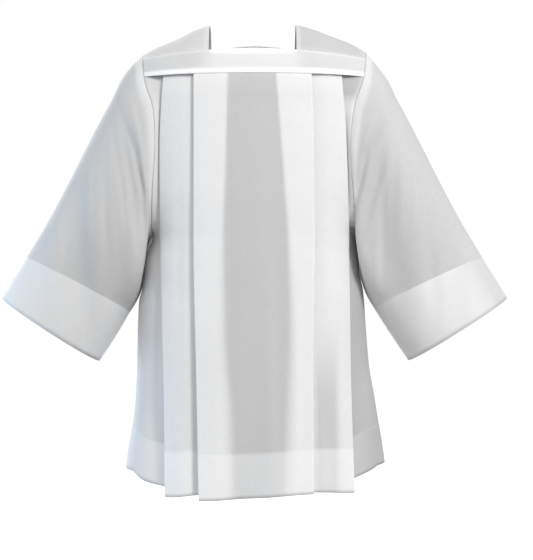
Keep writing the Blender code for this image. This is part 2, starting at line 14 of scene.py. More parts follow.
import bpy
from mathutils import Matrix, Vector


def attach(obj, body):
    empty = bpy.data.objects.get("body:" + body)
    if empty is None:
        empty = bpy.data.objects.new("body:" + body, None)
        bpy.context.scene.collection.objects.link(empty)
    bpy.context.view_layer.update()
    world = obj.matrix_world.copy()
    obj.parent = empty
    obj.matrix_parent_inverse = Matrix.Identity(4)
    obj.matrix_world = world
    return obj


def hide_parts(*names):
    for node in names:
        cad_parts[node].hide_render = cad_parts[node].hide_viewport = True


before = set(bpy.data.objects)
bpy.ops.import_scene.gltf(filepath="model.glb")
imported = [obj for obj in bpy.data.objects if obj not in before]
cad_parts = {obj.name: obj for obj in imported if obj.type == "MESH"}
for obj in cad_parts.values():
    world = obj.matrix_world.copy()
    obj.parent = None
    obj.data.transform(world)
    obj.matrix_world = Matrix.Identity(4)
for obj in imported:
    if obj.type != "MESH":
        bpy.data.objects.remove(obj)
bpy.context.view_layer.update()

LOG = logging.getLogger("surplice")

Point = tuple[float, float, float]
Line = Callable[[float], float]


class Face(Enum):
    """Front or back of the garment, as a sign on Y."""

    FRONT = -1
    BACK = 1


class Side(Enum):
    """Wearer's right or left, as a sign on X."""

    RIGHT = -1
    LEFT = 1


BODY = "root"

# Cloth as it is woven, the same turned up double, and the gap between pieces at a seam.
CLOTH = 0.0006
HEM_CLOTH = 0.0011
CAD_CLOTH = 0.0012
SEAM_GAP = 0.0004
EDGE_X = 0.215
# Cloth that runs on behind a yoke band, and how far the band stands proud of it.
BEHIND_BAND = 0.004
BAND_PROUD = 0.0005
# Edge of the neck on each side.
NECK = {Side.RIGHT: 0.0885, Side.LEFT: 0.0820}
# Level of the hem at the middle of the body.
MIDDLE_HEM = -0.925
# How fast sheer cloth whitens with each layer behind it.
WHITENING = 0.8
# How far a fold runs out past its two ends, as a share of its length.
RUN_OUT = 0.3


def lerp(start: float, end: float, share: float) -> float:
    """Value a share of the way from start to end."""
    return start + (end - start) * share


def ease(value: float) -> float:
    """Smooth step from 0 to 1 as value runs from 0 to 1."""
    value = min(1.0, max(0.0, value))
    return value * value * (3.0 - 2.0 * value)


def sheer_cover(extra_layers: float) -> float:
    """How much whiter sheer cloth looks with further layers behind it, and with painted light and shade
    counted as layers, from 0 to 1.
    """
    return 1.0 - math.exp(-WHITENING * extra_layers)


class SmoothTable:
    """Smooth curve through a column of a short table, level beyond its ends."""

    def __init__(self, keys: Sequence[float], values: Sequence[float]) -> None:
        """Puts the rows in order and works out the slope at each.

        Args:
            keys: place of each row.
            values: value at each place.
        """
        rows = sorted(zip(keys, values))
        self.keys = [key for key, _ in rows]
        self.values = [value for _, value in rows]
        slopes = [(v1 - v0) / (k1 - k0) for (k0, v0), (k1, v1) in zip(rows, rows[1:])]
        self.tangents: list[float] = []
        for i in range(len(rows)):
            before, after = slopes[max(i - 1, 0)], slopes[min(i, len(slopes) - 1)]
            turns = before * after <= 0.0
            self.tangents.append(0.0 if turns else 2.0 * before * after / (before + after))

    @classmethod
    def of(cls, rows: Sequence[NamedTuple], column: str) -> "SmoothTable":
        """Curve through one named column of a table whose first column is the key."""
        return cls([row[0] for row in rows], [getattr(row, column) for row in rows])

    def at(self, key: float) -> float:
        """Value of the curve at a key."""
        if key <= self.keys[0]:
            return self.values[0]
        if key >= self.keys[-1]:
            return self.values[-1]
        i = bisect_right(self.keys, key) - 1
        span = self.keys[i + 1] - self.keys[i]
        t = (key - self.keys[i]) / span
        lean_in = t * (1.0 - t) * (1.0 - t) * span * self.tangents[i]
        lean_out = t * t * (1.0 - t) * span * self.tangents[i + 1]
        return lerp(self.values[i], self.values[i + 1], ease(t)) + lean_in - lean_out


class Crease(NamedTuple):
    """Soft fold from one place in front view to another; a negative depth is a trough."""

    x0: float
    z0: float
    x1: float
    z1: float
    half_width: float
    depth: float

    def push(self, x: float, z: float) -> float:
        """How far the fold pushes the cloth out at a place in front view."""
        along_x, along_z = self.x1 - self.x0, self.z1 - self.z0
        length = math.hypot(along_x, along_z)
        share = ((x - self.x0) * along_x + (z - self.z0) * along_z) / length**2
        off = abs((x - self.x0) * along_z - (z - self.z0) * along_x) / length
        if off >= self.half_width or not -RUN_OUT < share < 1.0 + RUN_OUT:
            return 0.0
        ends = math.sin(math.pi * (share + RUN_OUT) / (1.0 + 2.0 * RUN_OUT))
        return self.depth * ends * 0.5 * (1.0 + math.cos(math.pi * off / self.half_width))


def relief(creases: Sequence[Crease], x: float, z: float) -> float:
    """Push of all the folds of a piece at a place in front view."""
    return sum(crease.push(x, z) for crease in creases)


class Section(NamedTuple):
    """Body section at a height: half width on each side, depth in front and behind."""

    z: float
    right: float
    left: float
    front: float
    back: float


class Ridge(NamedTuple):
    """Height of the shoulder line at a distance from the middle, on each side."""

    x: float
    right: float
    left: float


class Armhole(NamedTuple):
    """Armhole seam in front view: its distance from the middle at a height, on each side."""

    z: float
    right: float
    left: float


class Band(NamedTuple):
    """Edges of a yoke band: height at the middle, fall at EDGE_X, and power of the fall."""

    top: float
    top_fall: float
    top_power: float
    bottom: float
    bottom_fall: float
    bottom_power: float

    def edge(self, x: float, share: float) -> float:
        """Height at a distance from the middle, a share of the way from top to bottom."""
        out = abs(x) / EDGE_X
        top = self.top - self.top_fall * out**self.top_power
        bottom = self.bottom - self.bottom_fall * out**self.bottom_power
        return lerp(top, bottom, share)


SECTIONS = (
    Section(-0.160, 0.250, 0.250, 0.120, 0.112),
    Section(-0.200, 0.248, 0.248, 0.123, 0.114),
    Section(-0.250, 0.245, 0.245, 0.126, 0.116),
    Section(-0.300, 0.238, 0.238, 0.128, 0.117),
    Section(-0.340, 0.229, 0.229, 0.130, 0.118),
    Section(-0.380, 0.217, 0.217, 0.131, 0.118),
    Section(-0.400, 0.2105, 0.2105, 0.1315, 0.1185),
    Section(-0.420, 0.2030, 0.2030, 0.132, 0.119),
    Section(-0.440, 0.2090, 0.2052, 0.133, 0.1195),
    Section(-0.470, 0.2184, 0.2082, 0.1345, 0.120),
    Section(-0.500, 0.2207, 0.2107, 0.136, 0.121),
    Section(-0.525, 0.2243, 0.2166, 0.137, 0.122),
    Section(-0.550, 0.2308, 0.2192, 0.138, 0.123),
    Section(-0.600, 0.2330, 0.2225, 0.141, 0.126),
    Section(-0.680, 0.2345, 0.2275, 0.145, 0.130),
    Section(-0.750, 0.238, 0.240, 0.149, 0.134),
    Section(-0.860, 0.2550, 0.2580, 0.156, 0.142),
    Section(-0.930, 0.262, 0.266, 0.161, 0.147),
)
RIDGES = (
    Ridge(0.000, 0.0010, 0.0010),
    Ridge(0.080, 0.0005, 0.0005),
    Ridge(0.113, -0.0080, -0.0072),
    Ridge(0.153, -0.0275, -0.0220),
    Ridge(0.195, -0.0450, -0.0385),
    Ridge(0.224, -0.0605, -0.0555),
)
ARMHOLE = (
    Armhole(-0.057, 0.2220, 0.2220),
    Armhole(-0.090, 0.2190, 0.2185),
    Armhole(-0.120, 0.2140, 0.2120),
    Armhole(-0.140, 0.2080, 0.2050),
    Armhole(-0.160, 0.2000, 0.1975),
    Armhole(-0.200, 0.1935, 0.1900),
    Armhole(-0.250, 0.1925, 0.1866),
    Armhole(-0.300, 0.1960, 0.1885),
    Armhole(-0.340, 0.1990, 0.1930),
    Armhole(-0.380, 0.2015, 0.2000),
    Armhole(-0.420, 0.2030, 0.2030),
)


@dataclass
class BodyForm:
    """Outer form of the garment's body, which all its pieces follow."""

    chest_z: float = -0.160
    underarm_z: float = -0.420
    squareness: float = 2.6
    lean_step: float = 0.002
    seam_rounds: int = 8
    bands: dict[Face, Band] = field(
        default_factory=lambda: {
            Face.FRONT: Band(-0.0575, 0.0140, 1.4, -0.1090, 0.0020, 2.0),
            Face.BACK: Band(-0.0300, 0.0360, 1.6, -0.0780, 0.0350, 2.0),
        }
    )

    def __post_init__(self) -> None:
        """Reads the tables into smooth curves."""
        self.widths = {side: SmoothTable.of(SECTIONS, side.name.lower()) for side in Side}
        self.depths = {face: SmoothTable.of(SECTIONS, face.name.lower()) for face in Face}
        self.ridges = {side: SmoothTable.of(RIDGES, side.name.lower()) for side in Side}
        self.armholes = {side: SmoothTable.of(ARMHOLE, side.name.lower()) for side in Side}

    def crown(self, side: Side, x: float, z: float) -> float:
        """Share of the body's depth at a height above the chest: none at the ridge."""
        rise = max(0.0, (z - self.chest_z) / (self.ridges[side].at(abs(x)) - self.chest_z))
        return math.sqrt(max(0.0, 1.0 - rise * rise))

    def outer_y(self, side: Side, face: Face, x: float, z: float) -> float:
        """Outer face of the body at a place in front view."""
        ratio = min(1.0, abs(x) / self.widths[side].at(z))
        bulge = (1.0 - ratio**self.squareness) ** (1.0 / self.squareness)
        return face.value * self.depths[face].at(z) * bulge * self.crown(side, x, z)

    def lean(self, side: Side, face: Face, x: float, z: float) -> float:
        """How far the outer face leans back for each metre of height."""
        low = abs(self.outer_y(side, face, x, z - self.lean_step))
        high = abs(self.outer_y(side, face, x, z + self.lean_step))
        return (low - high) / (2.0 * self.lean_step)

    def seam_crossing(self, side: Side, line: Line) -> float:
        """Distance from the middle at which a line of the body meets the armhole seam."""
        x = EDGE_X
        for _ in range(self.seam_rounds):
            x = self.armholes[side].at(line(x))
        return x

    def panel_line(self, face: Face, share: float) -> Line:
        """Line across a panel: a share of the way from under the band to the underarm."""
        band = self.bands[face]
        return lambda x: lerp(band.edge(x, 1.0) - SEAM_GAP, self.underarm_z, share)

    def shoulder_line(self, side: Side, face: Face, share: float) -> Line:
        """Line round the shoulder: a share of the way from the band up to the ridge."""

        def height(x: float) -> float:
            """Height of the line at a distance from the middle."""
            seam = self.bands[face].edge(x, 0.0) + SEAM_GAP
            rise = self.ridges[side].at(abs(x)) - self.chest_z
            start = math.asin((seam - self.chest_z) / rise)
            return self.chest_z + rise * math.sin(lerp(start, math.pi / 2.0, share))

        return height


@dataclass
class ClothSheet:
    """Cut piece of cloth: a grid of points with its cover, made a thin shell."""

    name: str
    rows: list[list[Point]]
    covers: list[list[float]]
    outward: Point
    outward_at: int
    closed: bool = False
    hem_row: int | None = None
    offset: float = 0.0
    wall: float = CLOTH

    def lengths(self, points: Sequence[Point]) -> list[float]:
        """Distance run along a line of points at each of them."""
        run = [0.0]
        for a, b in zip(points, points[1:]):
            run.append(run[-1] + math.dist(a, b))
        return run

    def width(self) -> float:
        """Longest row of the piece, laid flat."""
        loops = [row + row[:1] if self.closed else row for row in self.rows]
        return max(self.lengths(row)[-1] for row in loops)

    def length(self) -> float:
        """Longest column of the piece, laid flat."""
        return max(self.lengths(column)[-1] for column in zip(*self.rows))

    def build(self, material: bpy.types.Material) -> bpy.types.Object:
        """Makes the shell with its cover and its own measure of the weave.

        Args:
            material: finish of the cloth.

        Returns:
            The new piece.
        """
        count = len(self.rows[0])
        verts = [point for row in self.rows for point in row]
        across = count if self.closed else count - 1
        faces = []
        for top in range(0, count * (len(self.rows) - 1), count):
            for i in range(across):
                after = (i + 1) % count
                faces.append((top + i, top + count + i, top + count + after, top + after))
        mesh = bpy.data.meshes.new(self.name)
        mesh.from_pydata(verts, [], faces)
        if mesh.polygons[self.outward_at].normal.dot(Vector(self.outward)) < 0.0:
            mesh.flip_normals()
        cover = mesh.attributes.new("cover", "FLOAT", "POINT")
        cover.data.foreach_set("value", [value for row in self.covers for value in row])
        self._measure_weave(mesh, count)
        mesh.shade_smooth()
        mesh.materials.append(material)
        piece = bpy.data.objects.new(self.name, mesh)
        bpy.context.scene.collection.objects.link(piece)
        self._give_wall(piece, count)
        return piece

    def _measure_weave(self, mesh: bpy.types.Mesh, count: int) -> None:
        """Lays a UV map in metres over the cloth, for threads that follow the cut."""
        across = [self.lengths(row + row[:1]) for row in self.rows]
        down = self.lengths([row[count // 2] for row in self.rows])
        weave = mesh.uv_layers.new(name="weave")
        for polygon in mesh.polygons:
            columns = [mesh.loops[i].vertex_index % count for i in polygon.loop_indices]
            wraps = self.closed and max(columns) - min(columns) > 1
            for loop, column in zip(polygon.loop_indices, columns):
                row = mesh.loops[loop].vertex_index // count
                place = count if wraps and column == 0 else column
                weave.data[loop].uv = (across[row][place], down[row])

    def _give_wall(self, piece: bpy.types.Object, count: int) -> None:
        """Gives the shell its thickness, double from the row where the hem starts."""
        wall = piece.modifiers.new("wall", "SOLIDIFY")
        wall.thickness = self.wall
        wall.offset = self.offset
        wall.use_even_offset = False
        wall.use_rim = True
        if self.hem_row is None:
            return
        wall.thickness = HEM_CLOTH
        group = piece.vertex_groups.new(name="layers")
        first = self.hem_row * count
        group.add(list(range(first)), self.wall / HEM_CLOTH, "REPLACE")
        group.add(list(range(first, count * len(self.rows))), 1.0, "REPLACE")
        wall.vertex_group = group.name


class Folds(NamedTuple):
    """Places of the inner and outer fold edge on each side at a height."""

    z: float
    right_inner: float
    right_outer: float
    left_inner: float
    left_outer: float


class Sheer(NamedTuple):
    """Where the single cloth of the middle ends on each side at a height."""

    z: float
    right: float
    left: float


class Hem(NamedTuple):
    """Height of the hem at a place along the cloth, from the middle to the side seam."""

    place: float
    right: float
    left: float


class Flare(NamedTuple):
    """Soft flare of the skirt: middle, half width, swing at the hem and height of its start."""

    x: float
    half_width: float
    swing: float
    start: float


class Stop(NamedTuple):
    """Point of the cloth's path: distance along the body, depth into it, place, and layers with painted
    light and shade counted among them.
    """

    distance: float
    inward: float
    place: float
    extra_layers: float


class LevelCurve:
    """Outer face of one side of a panel at one level, from its middle to its side edge."""

    SAMPLES = 120
    SPAN = 2
    HEM_RISE_X = 0.26
    HEM_RISE_POWER = 3
    SIDE_HEM = -0.878
    ROUNDS = 4

    def __init__(self, form: BodyForm, side: Side, face: Face, skirt: bool, share: float) -> None:
        """Samples the section of the body at the level.

        Args:
            form: body that the panel follows.
            side: wearer's right or left.
            face: front or back.
            skirt: whether the level lies below the underarm.
            share: share of the way from yoke to underarm, or from underarm to hem.
        """
        self.form, self.side, self.face = form, side, face
        self.skirt, self.share = skirt, share
        last = math.pi / 2.0
        if skirt:
            self.width = form.widths[side].at(lerp(form.underarm_z, self.SIDE_HEM, share))
        else:
            edge = form.seam_crossing(side, self.height)
            self.width = form.widths[side].at(self.height(edge))
            last = math.asin(min(1.0, edge / self.width) ** (form.squareness / 2.0))
        self.points = [self._sample(last * i / self.SAMPLES) for i in range(self.SAMPLES + 1)]
        self.distances = [0.0]
        for a, b in zip(self.points, self.points[1:]):
            self.distances.append(self.distances[-1] + math.dist(a, b))
        self.length = self.distances[-1]

    def height(self, x: float) -> float:
        """Height of the level at a distance from the middle."""
        if self.skirt:
            out = min(1.0, abs(x) / self.HEM_RISE_X) ** self.HEM_RISE_POWER
            hem = lerp(MIDDLE_HEM, self.SIDE_HEM, out)
            return lerp(self.form.underarm_z, hem, self.share)
        return self.form.panel_line(self.face, self.share)(x)

    def _sample(self, angle: float) -> tuple[float, float]:
        """Point of the section at an angle from the middle."""
        power = 2.0 / self.form.squareness
        x = self.width * math.sin(angle) ** power
        z = self.height(x)
        depth = self.form.depths[self.face].at(z) * self.form.crown(self.side, x, z)
        return x, self.face.value * depth * max(0.0, math.cos(angle)) ** power

    def distance_at(self, x: float, inward: float) -> float:
        """Distance along the curve whose point, moved inward, lies at a place across."""
        target = x
        for _ in range(self.ROUNDS):
            distance = self._distance(target)
            target += x - abs(self.at(distance, inward)[0])
        return self._distance(target)

    def _distance(self, x: float) -> float:
        """Distance along the curve to a place across."""
        for i, (x1, _) in enumerate(self.points[1:]):
            x0 = self.points[i][0]
            if x1 >= x:
                return lerp(self.distances[i], self.distances[i + 1], (x - x0) / (x1 - x0))
        return self.length

    def at(self, distance: float, inward: float) -> tuple[float, float]:
        """Point on the curve, moved into the body, with X signed for its side."""
        i = min(max(bisect_right(self.distances, distance) - 1, 0), self.SAMPLES - 1)
        (x0, y0), (x1, y1) = self.points[i], self.points[i + 1]
        share = (distance - self.distances[i]) / (self.distances[i + 1] - self.distances[i])
        before = self.points[max(i - self.SPAN, 0)]
        after = self.points[min(i + 1 + self.SPAN, self.SAMPLES)]
        along_x, along_y = after[0] - before[0], after[1] - before[1]
        if i == 0:
            along_x, along_y = 1.0, 0.0
        span = math.hypot(along_x, along_y)
        sign = self.face.value
        x = lerp(x0, x1, share) + sign * along_y / span * inward
        y = lerp(y0, y1, share) - sign * along_x / span * inward
        return self.side.value * x, y


class HalfLook(NamedTuple):
    """Whiteness that shows on one half of a panel, from layers and from painted light and shade.

    They are the share of the hem's whiteness kept at the side, the rest painted shade; painted light
    on the side, counted as layers, and painted shade where that count is below nothing, with more
    painted light where the side is narrow; the layers behind the second pleat; and painted shade that
    takes some of these off low down.
    """

    side_hem_lit: float
    side: float
    narrow_side_light: float
    second: float
    second_shade: float


# Painted light and painted shade sit in these counts, as HalfLook lists them: the right side is lit and
# the left side shaded.
HALF_LOOKS = {
    Side.RIGHT: HalfLook(0.25, 0.48, 0.25, 1.45, 0.15),
    Side.LEFT: HalfLook(0.05, -0.30, 1.80, 1.60, 1.45),
}


@dataclass
class PleatedPanel:
    """Front or back of the body: one width of cloth in four knife pleats, with a deep hem."""

    name: str
    face: Face
    form: BodyForm
    folds: tuple[Folds, ...]
    sheer: tuple[Sheer, ...]
    second_under: dict[Side, float]
    hems: tuple[Hem, ...]
    flares: tuple[Flare, ...]
    creases: tuple[Crease, ...]
    hem_depth: float = 0.084
    pleat_x: float = 0.15
    pressed: float = 0.0014
    press_reach: float = 0.016
    billow: float = 0.8
    billow_reach: float = 0.030
    layers_in_pleat: float = 2.0
    hem_layers: float = 0.8
    # Height where the painted shade on the second pleat's face starts, and how far down it deepens.
    shade_from: float = -0.55
    shade_span: float = 0.20
    seam_layers: float = 0.35
    seam_reach: float = 0.012
    fade_in: float = 5.0
    side_place: int = 6
    side_steps: int = 16
    base_cover: float = 0.26
    hem_soft: float = 0.008
    pitch_z: tuple[float, ...] = (-0.10, -0.42, -0.70, -0.93)
    pitch: tuple[float, ...] = (0.0024, 0.0032, 0.0048, 0.0064)
    upper_rows: int = 34
    skirt_rows: int = 40
    hem_rows: int = 10
    hem_steps: tuple[float, ...] = (-0.007, -0.0035, 0.0, 0.0035, 0.007)
    hem_zone: float = 0.010

    def __post_init__(self) -> None:
        """Reads the tables into smooth curves."""
        self.steps = SmoothTable(self.pitch_z, self.pitch)
        self.edges = {
            (side, place): SmoothTable.of(self.folds, f"{side.name.lower()}_{place}")
            for side in Side
            for place in ("inner", "outer")
        }
        self.singles = {side: SmoothTable.of(self.sheer, side.name.lower()) for side in Side}
        self.hem_at = {side: SmoothTable.of(self.hems, side.name.lower()) for side in Side}
        self.skirt_height = self.form.underarm_z - MIDDLE_HEM
        self.hem_share = 1.0 - self.hem_depth / self.skirt_height

    def _run(self, start: float, end: float, depths: tuple[float, float, float],
             places: tuple[float, float], extra: float, count: int) -> list[Stop]:
        """Stops of a straight run of cloth, pressed close to its neighbour at its start.

        Args:
            start: distance along the body where the run starts.
            end: distance where it ends.
            depths: depth at the start, along the run and at the end.
            places: places along the cloth at both ends.
            extra: layers behind the run.
            count: steps of the run.

        Returns:
            The stops, both ends counted.
        """
        stops = []
        for i in range(count + 1):
            distance = lerp(start, end, i / count)
            near_start = 1.0 - ease(abs(distance - start) / self.press_reach)
            near_end = 1.0 - ease(abs(distance - end) / self.press_reach)
            inward = lerp(depths[1], depths[0], near_start)
            inward = lerp(inward, depths[2], near_end)
            stops.append(Stop(distance, inward, lerp(places[0], places[1], i / count), extra))
        return stops

    def _turn(self, distance: float, outward: int, start: float, place: float) -> list[Stop]:
        """Stops of a pressed fold, where the cloth turns back on itself."""
        radius = self.pressed / 2.0
        return [
            Stop(
                distance + outward * radius * math.sin(angle),
                start + radius - radius * math.cos(angle),
                place,
                self.layers_in_pleat,
            )
            for angle in (math.radians(degrees) for degrees in (35, 70, 110, 145))
        ]

    def stops(self, curve: LevelCurve) -> list[Stop]:
        """Path of the cloth across one side: the middle, two knife pleats, then the side."""
        side = curve.side
        z = curve.height(self.pleat_x)
        step = self.steps.at(z)
        deep = [CAD_CLOTH / 2.0 + step * i for i in range(5)]
        reach = (self.pressed + CLOTH) / 2.0
        inner = curve.distance_at(self.edges[side, "inner"].at(z), deep[0]) - reach
        outer = curve.distance_at(self.edges[side, "outer"].at(z), deep[2]) - reach
        single = curve.distance_at(self.singles[side].at(z), deep[1])
        second = outer - self.second_under[side]
        full, close = self.layers_in_pleat, self.pressed
        rise = self.billow * step
        raised = deep[2] + rise
        stops = self._middle(z, inner, single, deep[0])
        stops += self._turn(inner, 1, deep[0], 1)
        stops += self._run(inner, single, (deep[0] + close, deep[1], deep[1]), (1, 2), full, 10)
        stops += self._turn(single, -1, deep[1], 2)
        stops += self._run(single, inner, (deep[1] + close, raised, raised), (2, 3), full, 8)
        stops += self._second_face(side, z, (inner, outer), raised, rise)
        stops += self._turn(outer, 1, deep[2], 4)
        stops += self._run(outer, second, (deep[2] + close, deep[3], deep[3]), (4, 5), full, 8)
        stops += self._turn(second, -1, deep[3], 5)
        stops += self._run(second, outer, (deep[3] + close, deep[4], deep[4]), (5, 6), 0.0, 8)
        clear = outer + 1.2 * (step + CAD_CLOTH) / 2.0
        return stops + self._side_run(curve, clear, (deep[4], deep[0]))

    def _middle(self, z: float, inner: float, single: float, depth: float) -> list[Stop]:
        """Stops from the middle to the first fold, whiter where the pleat starts behind."""
        top, bottom = self.pitch_z[0], self.pitch_z[-1]
        soft = lerp(0.006, 0.034, ease((z - top) / (bottom - top)))
        return [
            stop._replace(
                extra_layers=self.layers_in_pleat * ease((stop.distance - single) / soft + 0.5)
            )
            for stop in self._run(0.0, inner, (depth,) * 3, (0, 1), 0.0, 30)
        ]

    def _second_face(self, side: Side, z: float, ends: tuple[float, float],
                     depth: float, rise: float) -> list[Stop]:
        """Stops of the second pleat's face, which stands out past the first fold."""
        look = HALF_LOOKS[side]
        # Low down, layers are taken off the face as painted shade, over the part nearer the first fold.
        short = look.second_shade * ease((self.shade_from - z) / self.shade_span)
        stops = []
        for stop in self._run(*ends, (depth,) * 3, (3, 4), 0.0, 24)[1:]:
            out = stop.distance - ends[0]
            inward = stop.inward - rise * ease(out / self.billow_reach)
            shaded = ease((out - 0.004) / 0.012) * (1.0 - ease((out - 0.048) / 0.020))
            stops.append(stop._replace(inward=inward, extra_layers=look.second - short * shaded))
        return stops

    def _side_run(self, curve: LevelCurve, clear: float, depths: tuple[float, float]) -> list[Stop]:
        """Stops from behind the second pleat to the side seam or armhole."""
        look = HALF_LOOKS[curve.side]
        edge = curve.length - SEAM_GAP / 2.0
        width = edge - clear
        narrow = 1.0 - ease((width - 0.014) / 0.016)
        stops = []
        for i in range(self.side_steps + 1):
            share = i / self.side_steps
            near = ease(1.0 - (1.0 - share) * width / self.seam_reach)
            # The side's count is painted light where positive and painted shade where negative; where
            # the strip under the armhole is narrow it gets more painted light.
            extra = look.side + self.seam_layers * near * (1.0 - narrow)
            if not curve.skirt:
                extra += look.narrow_side_light * narrow
            inward = lerp(depths[0], depths[1], ease(share))
            place = lerp(self.side_place + 0.2, self.side_place + 2, share)
            stops.append(Stop(lerp(clear, edge, share), inward, place, extra))
        return stops

    def swing(self, x: float, z: float) -> float:
        """How far out flares and folds push the cloth at a place."""
        push = relief(self.creases, x, z)
        for flare in self.flares:
            across = abs(x - flare.x) / flare.half_width
            if across < 1.0 and z < flare.start:
                fall = (flare.start - z) / (flare.start - MIDDLE_HEM)
                push += flare.swing * fall * 0.5 * (1.0 + math.cos(math.pi * across))
        return push

    def row(self, skirt: bool, share: float) -> tuple[list[Point], list[float]]:
        """Points and covers across the whole panel at one level."""
        points: list[Point] = []
        covers: list[float] = []
        soft = self.hem_soft / self.skirt_height
        hemmed = ease((share - self.hem_share) / soft + 0.5) if skirt else 0.0
        for side in Side:
            curve = LevelCurve(self.form, side, self.face, skirt, share)
            half: list[Point] = []
            tones: list[float] = []
            for stop in self.stops(curve):
                x, _ = curve.at(stop.distance, stop.inward)
                level = curve.height(abs(x))
                if skirt:
                    level = lerp(self.form.underarm_z, self.hem_at[side].at(stop.place), share)
                fade = 1.0 if skirt else ease(share * self.fade_in)
                push = fade * self.swing(x, level)
                x, y = curve.at(stop.distance, stop.inward - push)
                if not skirt:
                    level -= stop.inward * self.form.lean(side, self.face, x, level)
                half.append((x, y, level))
                # Towards the side seam most of the hem's whiteness is taken off as painted shade.
                hem_lit = lerp(1.0, HALF_LOOKS[side].side_hem_lit, ease(stop.place - self.side_place))
                doubled = hemmed * hem_lit * (self.hem_layers + stop.extra_layers)
                tones.append(sheer_cover(self.base_cover + stop.extra_layers + doubled))
            if side is Side.RIGHT:
                half, tones = half[:0:-1], tones[:0:-1]
            points += half
            covers += tones
        return points, covers

    def sheet(self) -> ClothSheet:
        """The panel as a grid of points, from behind the yoke band to the hem."""
        start = -BEHIND_BAND / (self.form.bands[self.face].bottom - self.form.underarm_z)
        levels = [(False, lerp(start, 1.0, i / self.upper_rows)) for i in range(self.upper_rows)]
        above, below = self.hem_share - self.hem_zone, self.hem_share + self.hem_zone
        levels += [(True, above * i / self.skirt_rows) for i in range(self.skirt_rows + 1)]
        hem_row = len(levels) + self.hem_steps.index(0.0)
        levels += [(True, self.hem_share + step) for step in (*self.hem_steps, self.hem_zone)]
        levels += [(True, lerp(below, 1.0, i / self.hem_rows)) for i in range(1, self.hem_rows + 1)]
        grid = [self.row(skirt, share) for skirt, share in levels]
        count = len(grid[0][0])
        return ClothSheet(
            self.name,
            [row for row, _ in grid],
            [cover for _, cover in grid],
            (0.0, self.face.value, 0.0),
            count // 2,
            hem_row=hem_row,
        )


@dataclass
class YokeBand:
    """Straight double band over the tops of the pleats, from armhole to armhole."""

    name: str
    face: Face
    form: BodyForm
    columns: int = 72
    strip: float = 0.24
    strip_rise: float = 0.0003
    edge_share: float = 0.05
    middle_cover: float = 0.36
    rows: tuple[float, ...] = (
        0.0, 0.02, 0.05, 0.09, 0.15, 0.21, 0.26, 0.33, 0.42, 0.52, 0.62, 0.70, 0.76, 0.80, 0.85,
        0.91, 0.95, 0.98, 1.0,
    )

    def _profile(self, share: float) -> float:
        """How far the band stands out: turned in at its edges, thicker where cloth is turned up."""
        inside = min(share, 1.0 - share)
        turned = self.strip_rise * (1.0 - ease((inside - self.strip + 0.04) / 0.08))
        edge = min(1.0, inside / self.edge_share)
        return BAND_PROUD * math.sqrt(max(0.0, 1.0 - (1.0 - edge) ** 2)) + turned

    def _cover(self, x: float, share: float) -> float:
        """Whiteness of the band: its turned strips show through its outer layer."""
        lower = ease((share - 1.0 + self.strip + 0.06) / 0.14)
        side = Side.RIGHT if x < 0.0 else Side.LEFT
        out = abs(x) / NECK[side]
        neck = 1.0 - ease((out - 0.94) / 0.10)
        deep = lerp(0.06, lerp(0.12, 0.24, max(0.0, 1.0 - out**3)), neck)
        upper = lerp(0.40, 1.0, neck) * (1.0 - ease((share - deep + 0.05) / 0.10))
        middle = self.middle_cover * (1.0 - ease((out - 0.85) / 0.45))
        return max(lower, upper, middle)

    def sheet(self) -> ClothSheet:
        """The band as a grid of points from its top edge to its bottom edge."""
        band = self.form.bands[self.face]
        rows, covers = [], []
        for share in self.rows:
            edges = {
                side: self.form.seam_crossing(side, lambda x: band.edge(x, share)) - SEAM_GAP / 2.0
                for side in Side
            }
            row, tones = [], []
            for i in range(-self.columns, self.columns + 1):
                side = Side.RIGHT if i < 0 else Side.LEFT
                x = edges[side] * i / self.columns
                z = band.edge(x, share)
                y = self.form.outer_y(side, self.face, x, z)
                row.append((x, y + self.face.value * self._profile(share), z))
                tones.append(self._cover(x, share))
            rows.append(row)
            covers.append(tones)
        middle = len(self.rows) // 2 * 2 * self.columns + self.columns
        outward = (0.0, self.face.value, 0.0)
        return ClothSheet(self.name, rows, covers, outward, middle, offset=-1.0, wall=BAND_PROUD)


# Layers that show through each shoulder piece.
SHOULDER_LAYERS = {Side.RIGHT: 0.60, Side.LEFT: 0.12}


